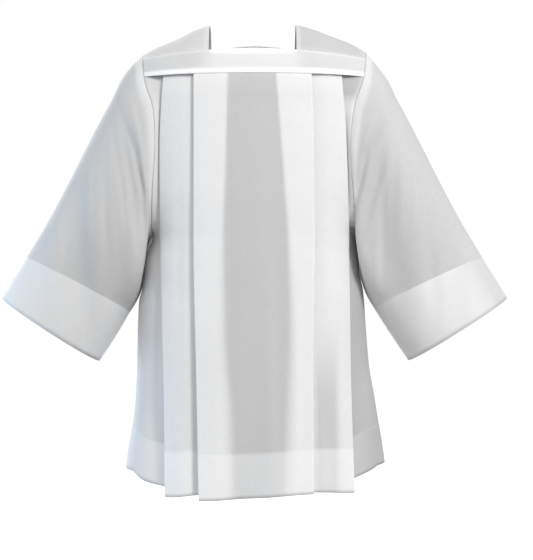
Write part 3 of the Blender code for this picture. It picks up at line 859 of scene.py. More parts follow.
@dataclass
class ShoulderPiece:
    """Strip beside the neck, from the front band over the shoulder to the back band."""

    name: str
    side: Side
    form: BodyForm
    creases: tuple[Crease, ...]
    turn_steps: int = 22
    columns: int = 34
    neck_roll: float = 0.005
    roll_rise: float = 0.0006
    behind_band: float = -0.06
    arm_reach: float = 0.012
    band_reach: float = 0.12

    def _cover(self, from_neck: float, to_arm: float, share: float) -> float:
        """Whiteness of the cloth: more at the neck, the armhole and the band."""
        near_neck = ease(1.0 - (from_neck - self.neck_roll) / 0.004 + 0.5)
        near_arm = ease(1.0 - to_arm / self.arm_reach)
        near_band = ease(1.0 - share / self.band_reach)
        base = SHOULDER_LAYERS[self.side]
        return sheer_cover(base + 0.3 * near_neck + 0.3 * near_arm + 0.2 * near_band)

    def sheet(self) -> ClothSheet:
        """The piece as a grid of points from the front band to the back band."""
        steps = [lerp(self.behind_band, 1.0, i / self.turn_steps) for i in range(self.turn_steps + 1)]
        turns = [(Face.FRONT, share) for share in steps]
        turns += [(Face.BACK, share) for share in reversed(steps[:-1])]
        rows, covers = [], []
        for face, share in turns:
            line = self.form.shoulder_line(self.side, face, share)
            edge = self.form.seam_crossing(self.side, line) - SEAM_GAP / 2.0
            row, tones = [], []
            for i in range(self.columns + 1):
                x = lerp(NECK[self.side], edge, (i / self.columns) ** 1.3)
                z = line(x)
                push = relief(self.creases, self.side.value * x, z) if face is Face.FRONT else 0.0
                push *= ease(share * 3.0) * ease((1.0 - share) * 5.0)
                roll = self.roll_rise * ease(1.0 - (x - NECK[self.side]) / self.neck_roll)
                y = self.form.outer_y(self.side, face, x, z)
                inset = face.value * (CLOTH - push - roll)
                on_top = max(0.0, share) ** 4
                row.append((self.side.value * x, y - inset * (1.0 - on_top), z - CLOTH * on_top))
                tones.append(self._cover(x - NECK[self.side], edge - x, share))
            rows.append(row)
            covers.append(tones)
        return ClothSheet(self.name, rows, covers, (0.0, -1.0, 1.0), self.columns)


class Ring(NamedTuple):
    """Ring of a sleeve: top line, bottom line on each side, half depths, hang and cling.

    The bow is how far its middle hangs past a straight line, and the cling how far its lower
    part draws in towards the body.
    """

    place: float
    top_x: float
    top_z: float
    right_x: float
    right_z: float
    left_x: float
    left_z: float
    front: float
    back: float
    bow: float
    cling: float


RINGS = (
    Ring(1, 0.2420, -0.078, 0.2150, -0.440, 0.2085, -0.440, 0.098, 0.090, 0.000, 0.060),
    Ring(2, 0.2645, -0.108, 0.2205, -0.470, 0.2100, -0.470, 0.101, 0.092, 0.000, 0.090),
    Ring(3, 0.2840, -0.148, 0.2225, -0.500, 0.2125, -0.500, 0.101, 0.093, 0.000, 0.090),
    Ring(4, 0.3060, -0.188, 0.2265, -0.526, 0.2185, -0.522, 0.100, 0.093, -0.001, 0.080),
    Ring(5, 0.3360, -0.246, 0.2310, -0.540, 0.2230, -0.535, 0.098, 0.092, -0.003, 0.060),
    Ring(6, 0.3700, -0.313, 0.2360, -0.550, 0.2275, -0.544, 0.095, 0.091, -0.005, 0.040),
    Ring(7, 0.4110, -0.390, 0.2415, -0.560, 0.2325, -0.553, 0.092, 0.090, -0.007, 0.020),
    Ring(8, 0.4535, -0.462, 0.2480, -0.570, 0.2385, -0.563, 0.090, 0.089, -0.009, 0.000),
    Ring(8.1, 0.4552, -0.465, 0.2498, -0.5725, 0.2400, -0.5655, 0.090, 0.089, -0.009, 0.000),
    Ring(9, 0.4785, -0.5025, 0.2775, -0.620, 0.2735, -0.618, 0.088, 0.088, -0.006, 0.000),
    Ring(10, 0.5035, -0.543, 0.3100, -0.669, 0.3075, -0.668, 0.086, 0.087, -0.001, 0.000),
)


class SleeveLook(NamedTuple):
    """Whiteness that shows on a sleeve, from layers and from painted light and shade.

    They are the layers of the hem, the share of them taken off along the upper side as painted shade,
    painted light along the inner side of the sleeve, the layers of the seam allowance and the share of
    them lost low down, and painted shade taken off above the inner part of the hem.
    """

    hem: float
    hem_shade: float
    inner_light: float
    allowance: float
    allowance_fade: float
    thin: float


# Painted light and painted shade sit in these counts, as SleeveLook lists them.
SLEEVE_LOOKS = {
    Side.RIGHT: SleeveLook(0.75, 0.00, 0.0, 0.75, 0.15, 0.20),
    Side.LEFT: SleeveLook(1.60, 0.85, 1.0, 0.60, 0.65, 0.00),
}


@dataclass
class Sleeve:
    """Wide sleeve from the armhole seam to the open cuff, with a deep hem."""

    name: str
    side: Side
    form: BodyForm
    creases: dict[Face, tuple[Crease, ...]]
    hem_place: float = 8.1
    cuff_place: float = 10.0
    squareness: float = 2.2
    cling_power: float = 2.7
    half_columns: int = 52
    arm_rows: int = 54
    hem_rows: int = 12
    allowance: float = 0.018
    turn_in: float = 0.0012
    allowance_rise: float = 0.0016
    seam_layers: float = 0.9
    tuck: float = 0.0012
    base_cover: float = 0.28
    low_reach: float = 0.014
    settle: float = 0.8
    hem_gap: float = 0.06
    arm_start: float = 0.95
    near_seam: tuple[float, ...] = (0.03, 0.08, 0.14, 0.20, 0.27, 0.35, 0.44, 0.54, 0.66, 0.80)

    def __post_init__(self) -> None:
        """Finds the armhole and joins it to the table of rings."""
        form, name = self.form, self.side.name.lower()
        top_x = form.seam_crossing(self.side, lambda x: form.ridges[self.side].at(x))
        self.top = (top_x, form.ridges[self.side].at(top_x))
        self.low = (form.armholes[self.side].at(form.underarm_z), form.underarm_z)
        steps = [math.pi * i / self.half_columns for i in range(self.half_columns + 1)]
        self.turns = [(Face.FRONT, angle) for angle in steps]
        self.turns += [(Face.BACK, angle) for angle in reversed(steps[1:-1])]
        self.loop = [self._armhole_point(face, angle) for face, angle in self.turns]
        depths = {
            face: max(abs(p[1]) for p, turn in zip(self.loop, self.turns) if turn[0] is face)
            for face in Face
        }
        seam_depths = (depths[Face.FRONT], depths[Face.BACK])
        rings = (Ring(0, *self.top, *self.low, *self.low, *seam_depths, 0.0, 0.0), *RINGS)
        columns = ("top_x", "top_z", f"{name}_x", f"{name}_z", "front", "back", "bow", "cling")
        self.tables = [SmoothTable.of(rings, column) for column in columns]
        self.blend = SmoothTable((0, 1, 2, 3), (1.0, 0.45, 0.15, 0.0))
        self.rest = []
        for point, (face, angle) in zip(self.loop, self.turns):
            x, y, z = self._oval(self.top, self.low, depths[face], angle)
            self.rest.append((point[0] - x, point[1] - face.value * y, point[2] - z))

    def _armhole_point(self, face: Face, angle: float) -> Point:
        """Point of the armhole seam at an angle down from the top, on the positive side."""
        z = self.low[1] + (self.top[1] - self.low[1]) * 0.5 * (1.0 + math.cos(angle))
        x = self.form.armholes[self.side].at(z)
        y = 0.0 if 0.0 in (angle, math.pi - angle) else self.form.outer_y(self.side, face, x, z)
        return x, y, z

    def _oval(self, top: tuple[float, float], low: tuple[float, float],
              depth: float, angle: float) -> Point:
        """Point of a ring between its top and bottom line, at an angle down from the top."""
        power = 2.0 / self.squareness
        reach = math.copysign(abs(math.cos(angle)) ** power, math.cos(angle))
        x = (top[0] + low[0]) / 2.0 + (top[0] - low[0]) / 2.0 * reach
        z = (top[1] + low[1]) / 2.0 + (top[1] - low[1]) / 2.0 * reach
        return x, depth * max(0.0, math.sin(angle)) ** power, z

    def _row(self, place: float) -> tuple[list[Point], list[float]]:
        """Points and covers round the sleeve at a place between armhole and cuff."""
        values = [table.at(place) for table in self.tables]
        top_x, top_z, low_x, low_z, front, back, bow, cling = values
        across = math.dist((top_x, top_z), (low_x, low_z))
        down = ((top_z - low_z) / across, -(top_x - low_x) / across)
        blend = self.blend.at(place)
        settled = ease(place / self.settle)
        row: list[Point] = []
        covers: list[float] = []
        for (face, angle), rest, seam in zip(self.turns, self.rest, self.loop):
            depth = front if face is Face.FRONT else back
            x, y, z = self._oval((top_x, top_z), (low_x, low_z), depth, angle)
            hang = bow * math.sin(angle)
            low = max(0.0, -math.cos(angle)) ** 2 * max(0.0, math.sin(angle)) ** self.cling_power
            x += rest[0] * blend + down[0] * hang - cling * low
            z += rest[2] * blend + down[1] * hang
            y += relief(self.creases[face], x, z) * math.sin(angle) * settled
            point = (x, face.value * y + rest[1] * blend, z)
            gone = math.dist(point, seam)
            reach = self.allowance * (1.0 - 0.55 * ease((angle / math.pi - 0.50) / 0.40))
            ridge = math.sin(math.pi * min(1.0, gone / reach))
            swell = self.allowance_rise * ridge * math.sin(angle)
            row.append((self.side.value * point[0], point[1] + face.value * swell, z))
            covers.append(self._cover(place, angle, gone - reach, (math.pi - angle) * depth))
        return row, covers

    def _cover(self, place: float, angle: float, past_allowance: float, from_low: float) -> float:
        """Whiteness of the cloth at a place, from the layers that show through it and from painted
        light and shade.

        Args:
            place: place between armhole and cuff.
            angle: angle down from the top.
            past_allowance: distance past the edge of the seam allowance.
            from_low: distance from the lowest line of the sleeve.

        Returns:
            The cover, from 0 to 1.
        """
        look, turn = SLEEVE_LOOKS[self.side], angle / math.pi
        fade = 1.0 - look.allowance_fade * ease((turn - 0.45) / 0.25)
        seam = look.allowance * fade * (1.0 - ease((past_allowance + 0.006) / 0.012))
        hem = thin = 0.0
        if place >= self.hem_place:
            # Along the upper side part of the hem's whiteness is taken off: painted shade.
            hem = look.hem * (1.0 - look.hem_shade * (1.0 - ease((turn - 0.20) / 0.25)))
        else:
            # Painted shade above the inner part of the hem, as layers taken off.
            thin = look.thin * ease((place - 4.0) / 3.0) * ease((turn - 0.30) / 0.25)
        # Painted light along the inner side, from the armhole to the cuff.
        hem += look.inner_light * ease((turn - 0.55) / 0.25)
        low = 0.5 * ease(1.0 - from_low / self.low_reach)
        return sheer_cover(self.base_cover - thin + max(seam, hem + low))

    def _turned_in(self, point: Point, toward_body: float) -> Point:
        """Point of the seam turned into the armhole, and then in behind the body."""
        middle_z = (self.top[1] + self.low[1]) / 2.0
        x, y, z = point
        scale = 1.0 - self.turn_in / math.hypot(y, z - middle_z)
        return x - self.side.value * toward_body, y * scale, middle_z + (z - middle_z) * scale

    def sheet(self) -> ClothSheet:
        """The sleeve as rings of points from the armhole to the cuff."""
        above = self.hem_place - self.hem_gap
        places = list(self.near_seam)
        places += [lerp(self.arm_start, above, i / self.arm_rows) for i in range(self.arm_rows + 1)]
        shift = self.side.value * SEAM_GAP / 2.0
        seam = [(self.side.value * x + shift, y, z) for x, y, z in self.loop]
        turned = [self._turned_in(point, 0.0) for point in seam]
        tucked = [self._turned_in(point, self.tuck) for point in seam]
        edges = [tucked, turned, seam]
        hem_row = len(edges) + len(places)
        hem = (self.hem_place, self.cuff_place)
        places += [lerp(*hem, i / self.hem_rows) for i in range(self.hem_rows + 1)]
        grid = [self._row(place) for place in places]
        rows = edges + [row for row, _ in grid]
        seam_cover = [sheer_cover(self.base_cover + self.seam_layers)] * len(seam)
        covers = [seam_cover] * len(edges) + [cover for _, cover in grid]
        return ClothSheet(
            self.name, rows, covers, (self.side.value, 0.0, 1.0), 0,
            closed=True, hem_row=hem_row, offset=-1.0,
        )


class Board:
    """Node tree with short calls to place nodes and to join them."""

    def __init__(self, tree: bpy.types.NodeTree) -> None:
        """Keeps the tree to work on."""
        self.tree = tree

    def node(self, kind: str, **settings: object) -> bpy.types.Node:
        """New node of a kind, with its settings."""
        node = self.tree.nodes.new(kind)
        for name, value in settings.items():
            setattr(node, name, value)
        return node

    def join(self, start: object, end: object) -> None:
        """Joins an output to an input, or puts a plain value on the input."""
        if isinstance(start, bpy.types.NodeSocket):
            self.tree.links.new(start, end)
        else:
            end.default_value = start

    def maths(self, operation: str, *values: object) -> bpy.types.NodeSocket:
        """Output of a Math node on one to three values or sockets."""
        node = self.node("ShaderNodeMath", operation=operation)
        for value, socket in zip(values, node.inputs):
            self.join(value, socket)
        return node.outputs[0]

    def mix(self, factor: object, first: object, second: object,
            blend: str = "MIX") -> bpy.types.NodeSocket:
        """Output of a colour Mix node."""
        node = self.node("ShaderNodeMix", data_type="RGBA", blend_type=blend)
        self.join(factor, node.inputs[0])
        self.join(first, node.inputs[6])
        self.join(second, node.inputs[7])
        return node.outputs[2]


def new_group(name: str, inputs: dict[str, float],
              outputs: Sequence[str]) -> tuple[Board, bpy.types.Node, bpy.types.Node]:
    """Empty shader group with a vector input, number inputs and number outputs.

    Args:
        name: name of the group.
        inputs: number inputs with their first values.
        outputs: number outputs.

    Returns:
        The board, the group's input node and its output node.
    """
    tree = bpy.data.node_groups.new(name, "ShaderNodeTree")
    face = tree.interface
    face.new_socket("Vector", in_out="INPUT", socket_type="NodeSocketVector")
    for label, value in inputs.items():
        socket = face.new_socket(label, in_out="INPUT", socket_type="NodeSocketFloat")
        socket.default_value = value
    for label in outputs:
        face.new_socket(label, in_out="OUTPUT", socket_type="NodeSocketFloat")
    board = Board(tree)
    return board, board.node("NodeGroupInput"), board.node("NodeGroupOutput")


def weave_group() -> bpy.types.NodeTree:
    """Plain weave of fine threads with slubs: a tone about 1 and a height from 0 to 1."""
    board, start, end = new_group("plain_weave", {"Threads": 1400.0, "Slub": 0.03}, ("Tone", "Height"))
    split = board.node("ShaderNodeSeparateXYZ")
    board.join(start.outputs["Vector"], split.inputs[0])
    turns = board.maths("MULTIPLY", start.outputs["Threads"], math.pi)
    waves = [board.maths("SINE", board.maths("MULTIPLY", split.outputs[i], turns)) for i in (0, 1)]
    checks = board.maths("MULTIPLY", *waves)
    board.join(board.maths("MULTIPLY_ADD", checks, 0.5, 0.5), end.inputs["Height"])
    tones = []
    for stretch in ((60.0, 900.0, 1.0), (700.0, 50.0, 1.0)):
        mapping = board.node("ShaderNodeMapping")
        board.join(start.outputs["Vector"], mapping.inputs["Vector"])
        mapping.inputs["Scale"].default_value = stretch
        noise = board.node("ShaderNodeTexNoise", noise_dimensions="2D")
        noise.inputs["Scale"].default_value = 1.0
        noise.inputs["Detail"].default_value = 2.0
        board.join(mapping.outputs[0], noise.inputs["Vector"])
        tones.append(board.maths("SUBTRACT", noise.outputs[0], 0.5))
    slubs = board.maths("ADD", *tones)
    board.join(board.maths("MULTIPLY_ADD", slubs, start.outputs["Slub"], 1.0), end.inputs["Tone"])
    return board.tree


def rumple_group() -> bpy.types.NodeTree:
    """Soft unevenness of hung cloth: a tone about 1 and a height from 0 to 1."""
    board, start, end = new_group("soft_rumple", {"Scale": 9.0, "Depth": 0.03}, ("Tone", "Height"))
    mapping = board.node("ShaderNodeMapping")
    mapping.inputs["Scale"].default_value = (1.0, 1.0, 0.45)
    board.join(start.outputs["Vector"], mapping.inputs["Vector"])
    noise = board.node("ShaderNodeTexNoise")
    noise.inputs["Detail"].default_value = 3.0
    noise.inputs["Roughness"].default_value = 0.45
    board.join(start.outputs["Scale"], noise.inputs["Scale"])
    board.join(mapping.outputs[0], noise.inputs["Vector"])
    board.join(noise.outputs[0], end.inputs["Height"])
    swing = board.maths("SUBTRACT", noise.outputs[0], 0.5)
    board.join(board.maths("MULTIPLY_ADD", swing, start.outputs["Depth"], 1.0), end.inputs["Tone"])
    return board.tree


Colour = tuple[float, float, float, float]

# Colour of the cloth with nothing white behind it, in the body and in the double yoke bands.
SINGLE_CLOTH: Colour = (0.500, 0.501, 0.505, 1.0)
DOUBLE_CLOTH: Colour = (0.660, 0.661, 0.664, 1.0)


@dataclass(frozen=True)
class ClothFinish:
    """White cotton and polyester cloth, greyer where it hangs single."""

    name: str
    single: Colour
    full: Colour
    roughness: float = 0.86
    threads: float = 1400.0
    slub: float = 0.09
    rumple: float = 0.07
    weave_depth: float = 0.00006
    rumple_depth: float = 0.004

    def material(self, weave: bpy.types.NodeTree, rumple: bpy.types.NodeTree) -> bpy.types.Material:
        """Builds the finish.

        Args:
            weave: group of the thread pattern.
            rumple: group of the soft unevenness.

        Returns:
            The new material.
        """
        material = bpy.data.materials.new(self.name)
        material.use_nodes = True
        board = Board(material.node_tree)
        shader = material.node_tree.nodes["Principled BSDF"]
        cover = board.node("ShaderNodeAttribute", attribute_name="cover")
        threads = board.node("ShaderNodeGroup", node_tree=weave)
        threads.inputs["Threads"].default_value = self.threads
        threads.inputs["Slub"].default_value = self.slub
        board.join(board.node("ShaderNodeUVMap", uv_map="weave").outputs[0], threads.inputs["Vector"])
        soft = board.node("ShaderNodeGroup", node_tree=rumple)
        soft.inputs["Depth"].default_value = self.rumple
        board.join(board.node("ShaderNodeTexCoord").outputs["Object"], soft.inputs["Vector"])
        # The cover whitens the cloth for layers behind it, and on the body and sleeves it also carries
        # painted light and shade.
        base = board.mix(cover.outputs["Fac"], self.single, self.full)
        tone = board.maths("MULTIPLY", threads.outputs["Tone"], soft.outputs["Tone"])
        spread = board.node("ShaderNodeCombineColor")
        for socket in spread.inputs:
            board.join(tone, socket)
        board.join(board.mix(1.0, base, spread.outputs[0], "MULTIPLY"), shader.inputs["Base Color"])
        rough = board.maths("MULTIPLY_ADD", threads.outputs["Height"], 0.06, self.roughness - 0.03)
        board.join(rough, shader.inputs["Roughness"])
        shader.inputs["Sheen Weight"].default_value = 0.12
        shader.inputs["Sheen Roughness"].default_value = 0.55
        shader.inputs["Specular IOR Level"].default_value = 0.22
        folds = board.node("ShaderNodeBump")
        folds.inputs["Strength"].default_value = 0.35
        folds.inputs["Distance"].default_value = self.rumple_depth
        board.join(soft.outputs["Height"], folds.inputs["Height"])
        bump = board.node("ShaderNodeBump")
        bump.inputs["Strength"].default_value = 0.3
        bump.inputs["Distance"].default_value = self.weave_depth
        board.join(threads.outputs["Height"], bump.inputs["Height"])
        board.join(folds.outputs[0], bump.inputs["Normal"])
        board.join(bump.outputs[0], shader.inputs["Normal"])
        return material


@dataclass(frozen=True)
class ThreadFinish:
    """Twisted white sewing thread."""

    name: str = "sewing_thread"
    colour: Colour = (0.86, 0.86, 0.87, 1.0)
    twist: float = 2600.0

    def material(self) -> bpy.types.Material:
        """Builds the finish."""
        material = bpy.data.materials.new(self.name)
        material.use_nodes = True
        board = Board(material.node_tree)
        shader = material.node_tree.nodes["Principled BSDF"]
        place = board.node("ShaderNodeTexCoord")
        split = board.node("ShaderNodeSeparateXYZ")
        board.join(place.outputs["Object"], split.inputs[0])
        across = board.maths("ADD", split.outputs[0], split.outputs[1])
        total = board.maths("ADD", across, split.outputs[2])
        wave = board.maths("SINE", board.maths("MULTIPLY", total, self.twist))
        shade = board.maths("MULTIPLY_ADD", wave, 0.04, 0.96)
        spread = board.node("ShaderNodeCombineColor")
        for socket in spread.inputs:
            board.join(shade, socket)
        tone = board.mix(1.0, self.colour, spread.outputs[0], "MULTIPLY")
        board.join(tone, shader.inputs["Base Color"])
        board.join(board.maths("MULTIPLY_ADD", wave, 0.05, 0.6), shader.inputs["Roughness"])
        shader.inputs["Sheen Weight"].default_value = 0.1
        return material


@dataclass
class Stitching:
    """Rows of machine stitches laid along seams and hems."""

    thread: bpy.types.Material
    pitch: float = 0.0032
    length: float = 0.0024
    radius: float = 0.00028
    lift: float = 0.0001

    def __post_init__(self) -> None:
        """Builds the node tree that lays one stitch after another along a line."""
        tree = bpy.data.node_groups.new("stitch_row", "GeometryNodeTree")
        board = Board(tree)
        face = tree.interface
        face.new_socket("Line", in_out="INPUT", socket_type="NodeSocketGeometry")
        sizes = {"Pitch": self.pitch, "Stitch Length": self.length, "Thread Radius": self.radius}
        self.sockets = {
            label: face.new_socket(label, in_out="INPUT", socket_type="NodeSocketFloat")
            for label in sizes
        }
        self.sizes = sizes
        face.new_socket("Stitches", in_out="OUTPUT", socket_type="NodeSocketGeometry")
        start, end = board.node("NodeGroupInput"), board.node("NodeGroupOutput")
        curve = board.node("GeometryNodeMeshToCurve")
        board.join(start.outputs["Line"], curve.inputs[0])
        spaced = board.node("GeometryNodeResampleCurve", mode="LENGTH")
        board.join(curve.outputs[0], spaced.inputs["Curve"])
        board.join(start.outputs["Pitch"], spaced.inputs["Length"])
        ball = board.node("GeometryNodeMeshIcoSphere")
        ball.inputs["Radius"].default_value = 1.0
        ball.inputs["Subdivisions"].default_value = 1
        size = board.node("ShaderNodeCombineXYZ")
        half = board.maths("MULTIPLY", start.outputs["Stitch Length"], 0.5)
        for socket, source in zip(size.inputs, (start.outputs["Thread Radius"],) * 2 + (half,)):
            board.join(source, socket)
        stitch = board.node("GeometryNodeTransform")
        board.join(ball.outputs["Mesh"], stitch.inputs["Geometry"])
        board.join(size.outputs[0], stitch.inputs["Scale"])
        along = board.node("FunctionNodeAlignRotationToVector", axis="Z")
        board.join(board.node("GeometryNodeInputTangent").outputs[0], along.inputs["Vector"])
        placed = board.node("GeometryNodeInstanceOnPoints")
        board.join(spaced.outputs[0], placed.inputs["Points"])
        board.join(stitch.outputs[0], placed.inputs["Instance"])
        board.join(along.outputs[0], placed.inputs["Rotation"])
        real = board.node("GeometryNodeRealizeInstances")
        board.join(placed.outputs[0], real.inputs[0])
        dressed = board.node("GeometryNodeSetMaterial")
        dressed.inputs["Material"].default_value = self.thread
        board.join(real.outputs[0], dressed.inputs["Geometry"])
        board.join(dressed.outputs[0], end.inputs[0])
        self.tree = tree

    def row(self, name: str, lines: Sequence[Sequence[Point]]) -> bpy.types.Object:
        """Lays stitches along lines on the cloth.

        Args:
            name: name of the finished row.
            lines: points that the stitches follow, just proud of the cloth.

        Returns:
            The stitches as one plain mesh.
        """
        verts: list[Point] = []
        edges: list[tuple[int, int]] = []
        for line in lines:
            first = len(verts)
            verts += line
            edges += [(first + i, first + i + 1) for i in range(len(line) - 1)]
        guide_mesh = bpy.data.meshes.new(name + "_line")
        guide_mesh.from_pydata(verts, edges, [])
        guide = bpy.data.objects.new(name + "_line", guide_mesh)
        bpy.context.scene.collection.objects.link(guide)
        sewing = guide.modifiers.new("sewing", "NODES")
        sewing.node_group = self.tree
        for label, socket in self.sockets.items():
            sewing[socket.identifier] = self.sizes[label]
        graph = bpy.context.evaluated_depsgraph_get()
        mesh = bpy.data.meshes.new_from_object(guide.evaluated_get(graph), depsgraph=graph)
        mesh.name = name
        bpy.data.objects.remove(guide)
        piece = bpy.data.objects.new(name, mesh)
        bpy.context.scene.collection.objects.link(piece)
        return piece


def surface_line(sheet: ClothSheet, row: int, lift: float, columns: range | None = None) -> list[Point]:
    """Line along one row of a sheet, lifted off its outer face.

    Args:
        sheet: piece of cloth.
        row: row of its grid.
        lift: distance from the grid's surface.
        columns: columns that the line takes in, or all of them.

    Returns:
        The points of the line.
    """
    count = len(sheet.rows[0])
    above, below = sheet.rows[max(row - 1, 0)], sheet.rows[min(row + 1, len(sheet.rows) - 1)]
    here = sheet.rows[row]
    line = []
    middle = sheet.outward_at % max(1, count - 1)
    across = Vector(here[(middle + 1) % count]) - Vector(here[middle - 1])
    down = Vector(below[middle]) - Vector(above[middle])
    sign = 1.0 if across.cross(down).dot(Vector(sheet.outward)) > 0.0 else -1.0
    for i in columns or range(count):
        after, before = (i + 1) % count, i - 1
        if not sheet.closed:
            after, before = min(i + 1, count - 1), max(i - 1, 0)
        across = Vector(here[after]) - Vector(here[before])
        down = Vector(below[i]) - Vector(above[i])
        line.append(tuple(Vector(here[i]) + across.cross(down).normalized() * sign * lift))
    return line


FRONT_FOLDS = (
    Folds(-0.10, 0.1171, 0.1766, 0.1110, 0.1699),
    Folds(-0.25, 0.1165, 0.1840, 0.1150, 0.1797),
    Folds(-0.42, 0.1165, 0.1835, 0.1170, 0.1850),
    Folds(-0.70, 0.1100, 0.1755, 0.1139, 0.1885),
    Folds(-0.93, 0.1045, 0.1710, 0.1149, 0.1945),
)
BACK_FOLDS = (
    Folds(-0.10, 0.1140, 0.1730, 0.1140, 0.1730),
    Folds(-0.25, 0.1150, 0.1800, 0.1155, 0.1800),
    Folds(-0.42, 0.1165, 0.1830, 0.1160, 0.1835),
    Folds(-0.70, 0.1150, 0.1820, 0.1120, 0.1790),
    Folds(-0.93, 0.1180, 0.1850, 0.1090, 0.1750),
)
FRONT_SHEER = (
    Sheer(-0.109, 0.0510, 0.0430),
    Sheer(-0.298, 0.0560, 0.0580),
    Sheer(-0.432, 0.0610, 0.0680),
    Sheer(-0.603, 0.0600, 0.0740),
    Sheer(-0.803, 0.0480, 0.0690),
    Sheer(-0.925, 0.0500, 0.0680),
)
BACK_SHEER = (
    Sheer(-0.109, 0.0560, 0.0540),
    Sheer(-0.432, 0.0640, 0.0600),
    Sheer(-0.925, 0.0600, 0.0560),
)
FRONT_HEMS = (
    Hem(0, -0.922, -0.922),
    Hem(1, -0.928, -0.915),
    Hem(2, -0.923, -0.914),
    Hem(3, -0.919, -0.914),
    Hem(4, -0.925, -0.918),
    Hem(5, -0.916, -0.907),
    Hem(6, -0.909, -0.898),
    Hem(6.5, -0.9035, -0.8865),
    Hem(6.84, -0.896, -0.878),
    Hem(7.25, -0.882, -0.8715),
    Hem(8, -0.880, -0.870),
)
BACK_HEMS = (
    Hem(0, -0.918, -0.918),
    Hem(1, -0.920, -0.923),
    Hem(2, -0.916, -0.918),
    Hem(3, -0.913, -0.915),
    Hem(4, -0.917, -0.919),
    Hem(5, -0.909, -0.910),
    Hem(6, -0.902, -0.902),
    Hem(7, -0.892, -0.888),
    Hem(8, -0.880, -0.870),
)
FRONT_FLARES = (
    Flare(-0.030, 0.050, -0.006, -0.45),
    Flare(0.045, 0.045, 0.005, -0.50),
    Flare(-0.140, 0.035, 0.005, -0.55),
    Flare(0.150, 0.035, -0.005, -0.50),
    Flare(-0.215, 0.030, 0.006, -0.62),
    Flare(0.220, 0.028, 0.007, -0.60),
)
BACK_FLARES = (
    Flare(0.020, 0.055, -0.007, -0.48),
    Flare(-0.070, 0.040, 0.005, -0.55),
    Flare(0.150, 0.036, 0.006, -0.52),
    Flare(-0.155, 0.034, -0.005, -0.58),
    Flare(0.215, 0.030, -0.005, -0.62),
    Flare(-0.220, 0.028, 0.006, -0.60),
)
FRONT_CREASES = (
    Crease(0.046, -0.520, 0.050, -0.860, 0.024, -0.0030),
    Crease(0.082, -0.560, 0.080, -0.880, 0.016, 0.0026),
    Crease(-0.020, -0.600, -0.026, -0.840, 0.030, 0.0020),
    Crease(-0.204, -0.740, -0.202, -0.900, 0.014, 0.0026),
    Crease(-0.186, -0.480, -0.192, -0.800, 0.012, -0.0020),
    Crease(0.132, -0.560, 0.138, -0.860, 0.020, -0.0022),
    Crease(0.168, -0.520, 0.170, -0.860, 0.016, 0.0018),
    Crease(0.206, -0.560, 0.214, -0.840, 0.018, -0.0022),
    Crease(0.004, -0.180, 0.010, -0.480, 0.034, 0.0014),
    Crease(-0.046, -0.260, -0.044, -0.560, 0.020, -0.0014),
    Crease(-0.142, -0.300, -0.146, -0.700, 0.018, -0.0014),
    Crease(-0.125, -0.418, -0.186, -0.418, 0.038, 0.0028),
    Crease(0.125, -0.418, 0.186, -0.418, 0.038, 0.0028),
)
BACK_CREASES = (
    Crease(-0.038, -0.420, -0.046, -0.840, 0.028, -0.0032),
    Crease(0.018, -0.380, 0.030, -0.800, 0.030, 0.0028),
    Crease(0.086, -0.560, 0.082, -0.860, 0.018, -0.0024),
    Crease(-0.090, -0.580, -0.088, -0.880, 0.016, 0.0024),
    Crease(0.144, -0.540, 0.140, -0.840, 0.018, 0.0020),
    Crease(-0.150, -0.500, -0.152, -0.820, 0.018, -0.0022),
    Crease(0.206, -0.600, 0.214, -0.860, 0.016, 0.0024),
    Crease(-0.208, -0.560, -0.216, -0.840, 0.016, -0.0022),
    Crease(0.000, -0.140, 0.006, -0.420, 0.036, 0.0014),
    Crease(-0.125, -0.418, -0.186, -0.418, 0.038, 0.0028),
    Crease(0.125, -0.418, 0.186, -0.418, 0.038, 0.0028),
)
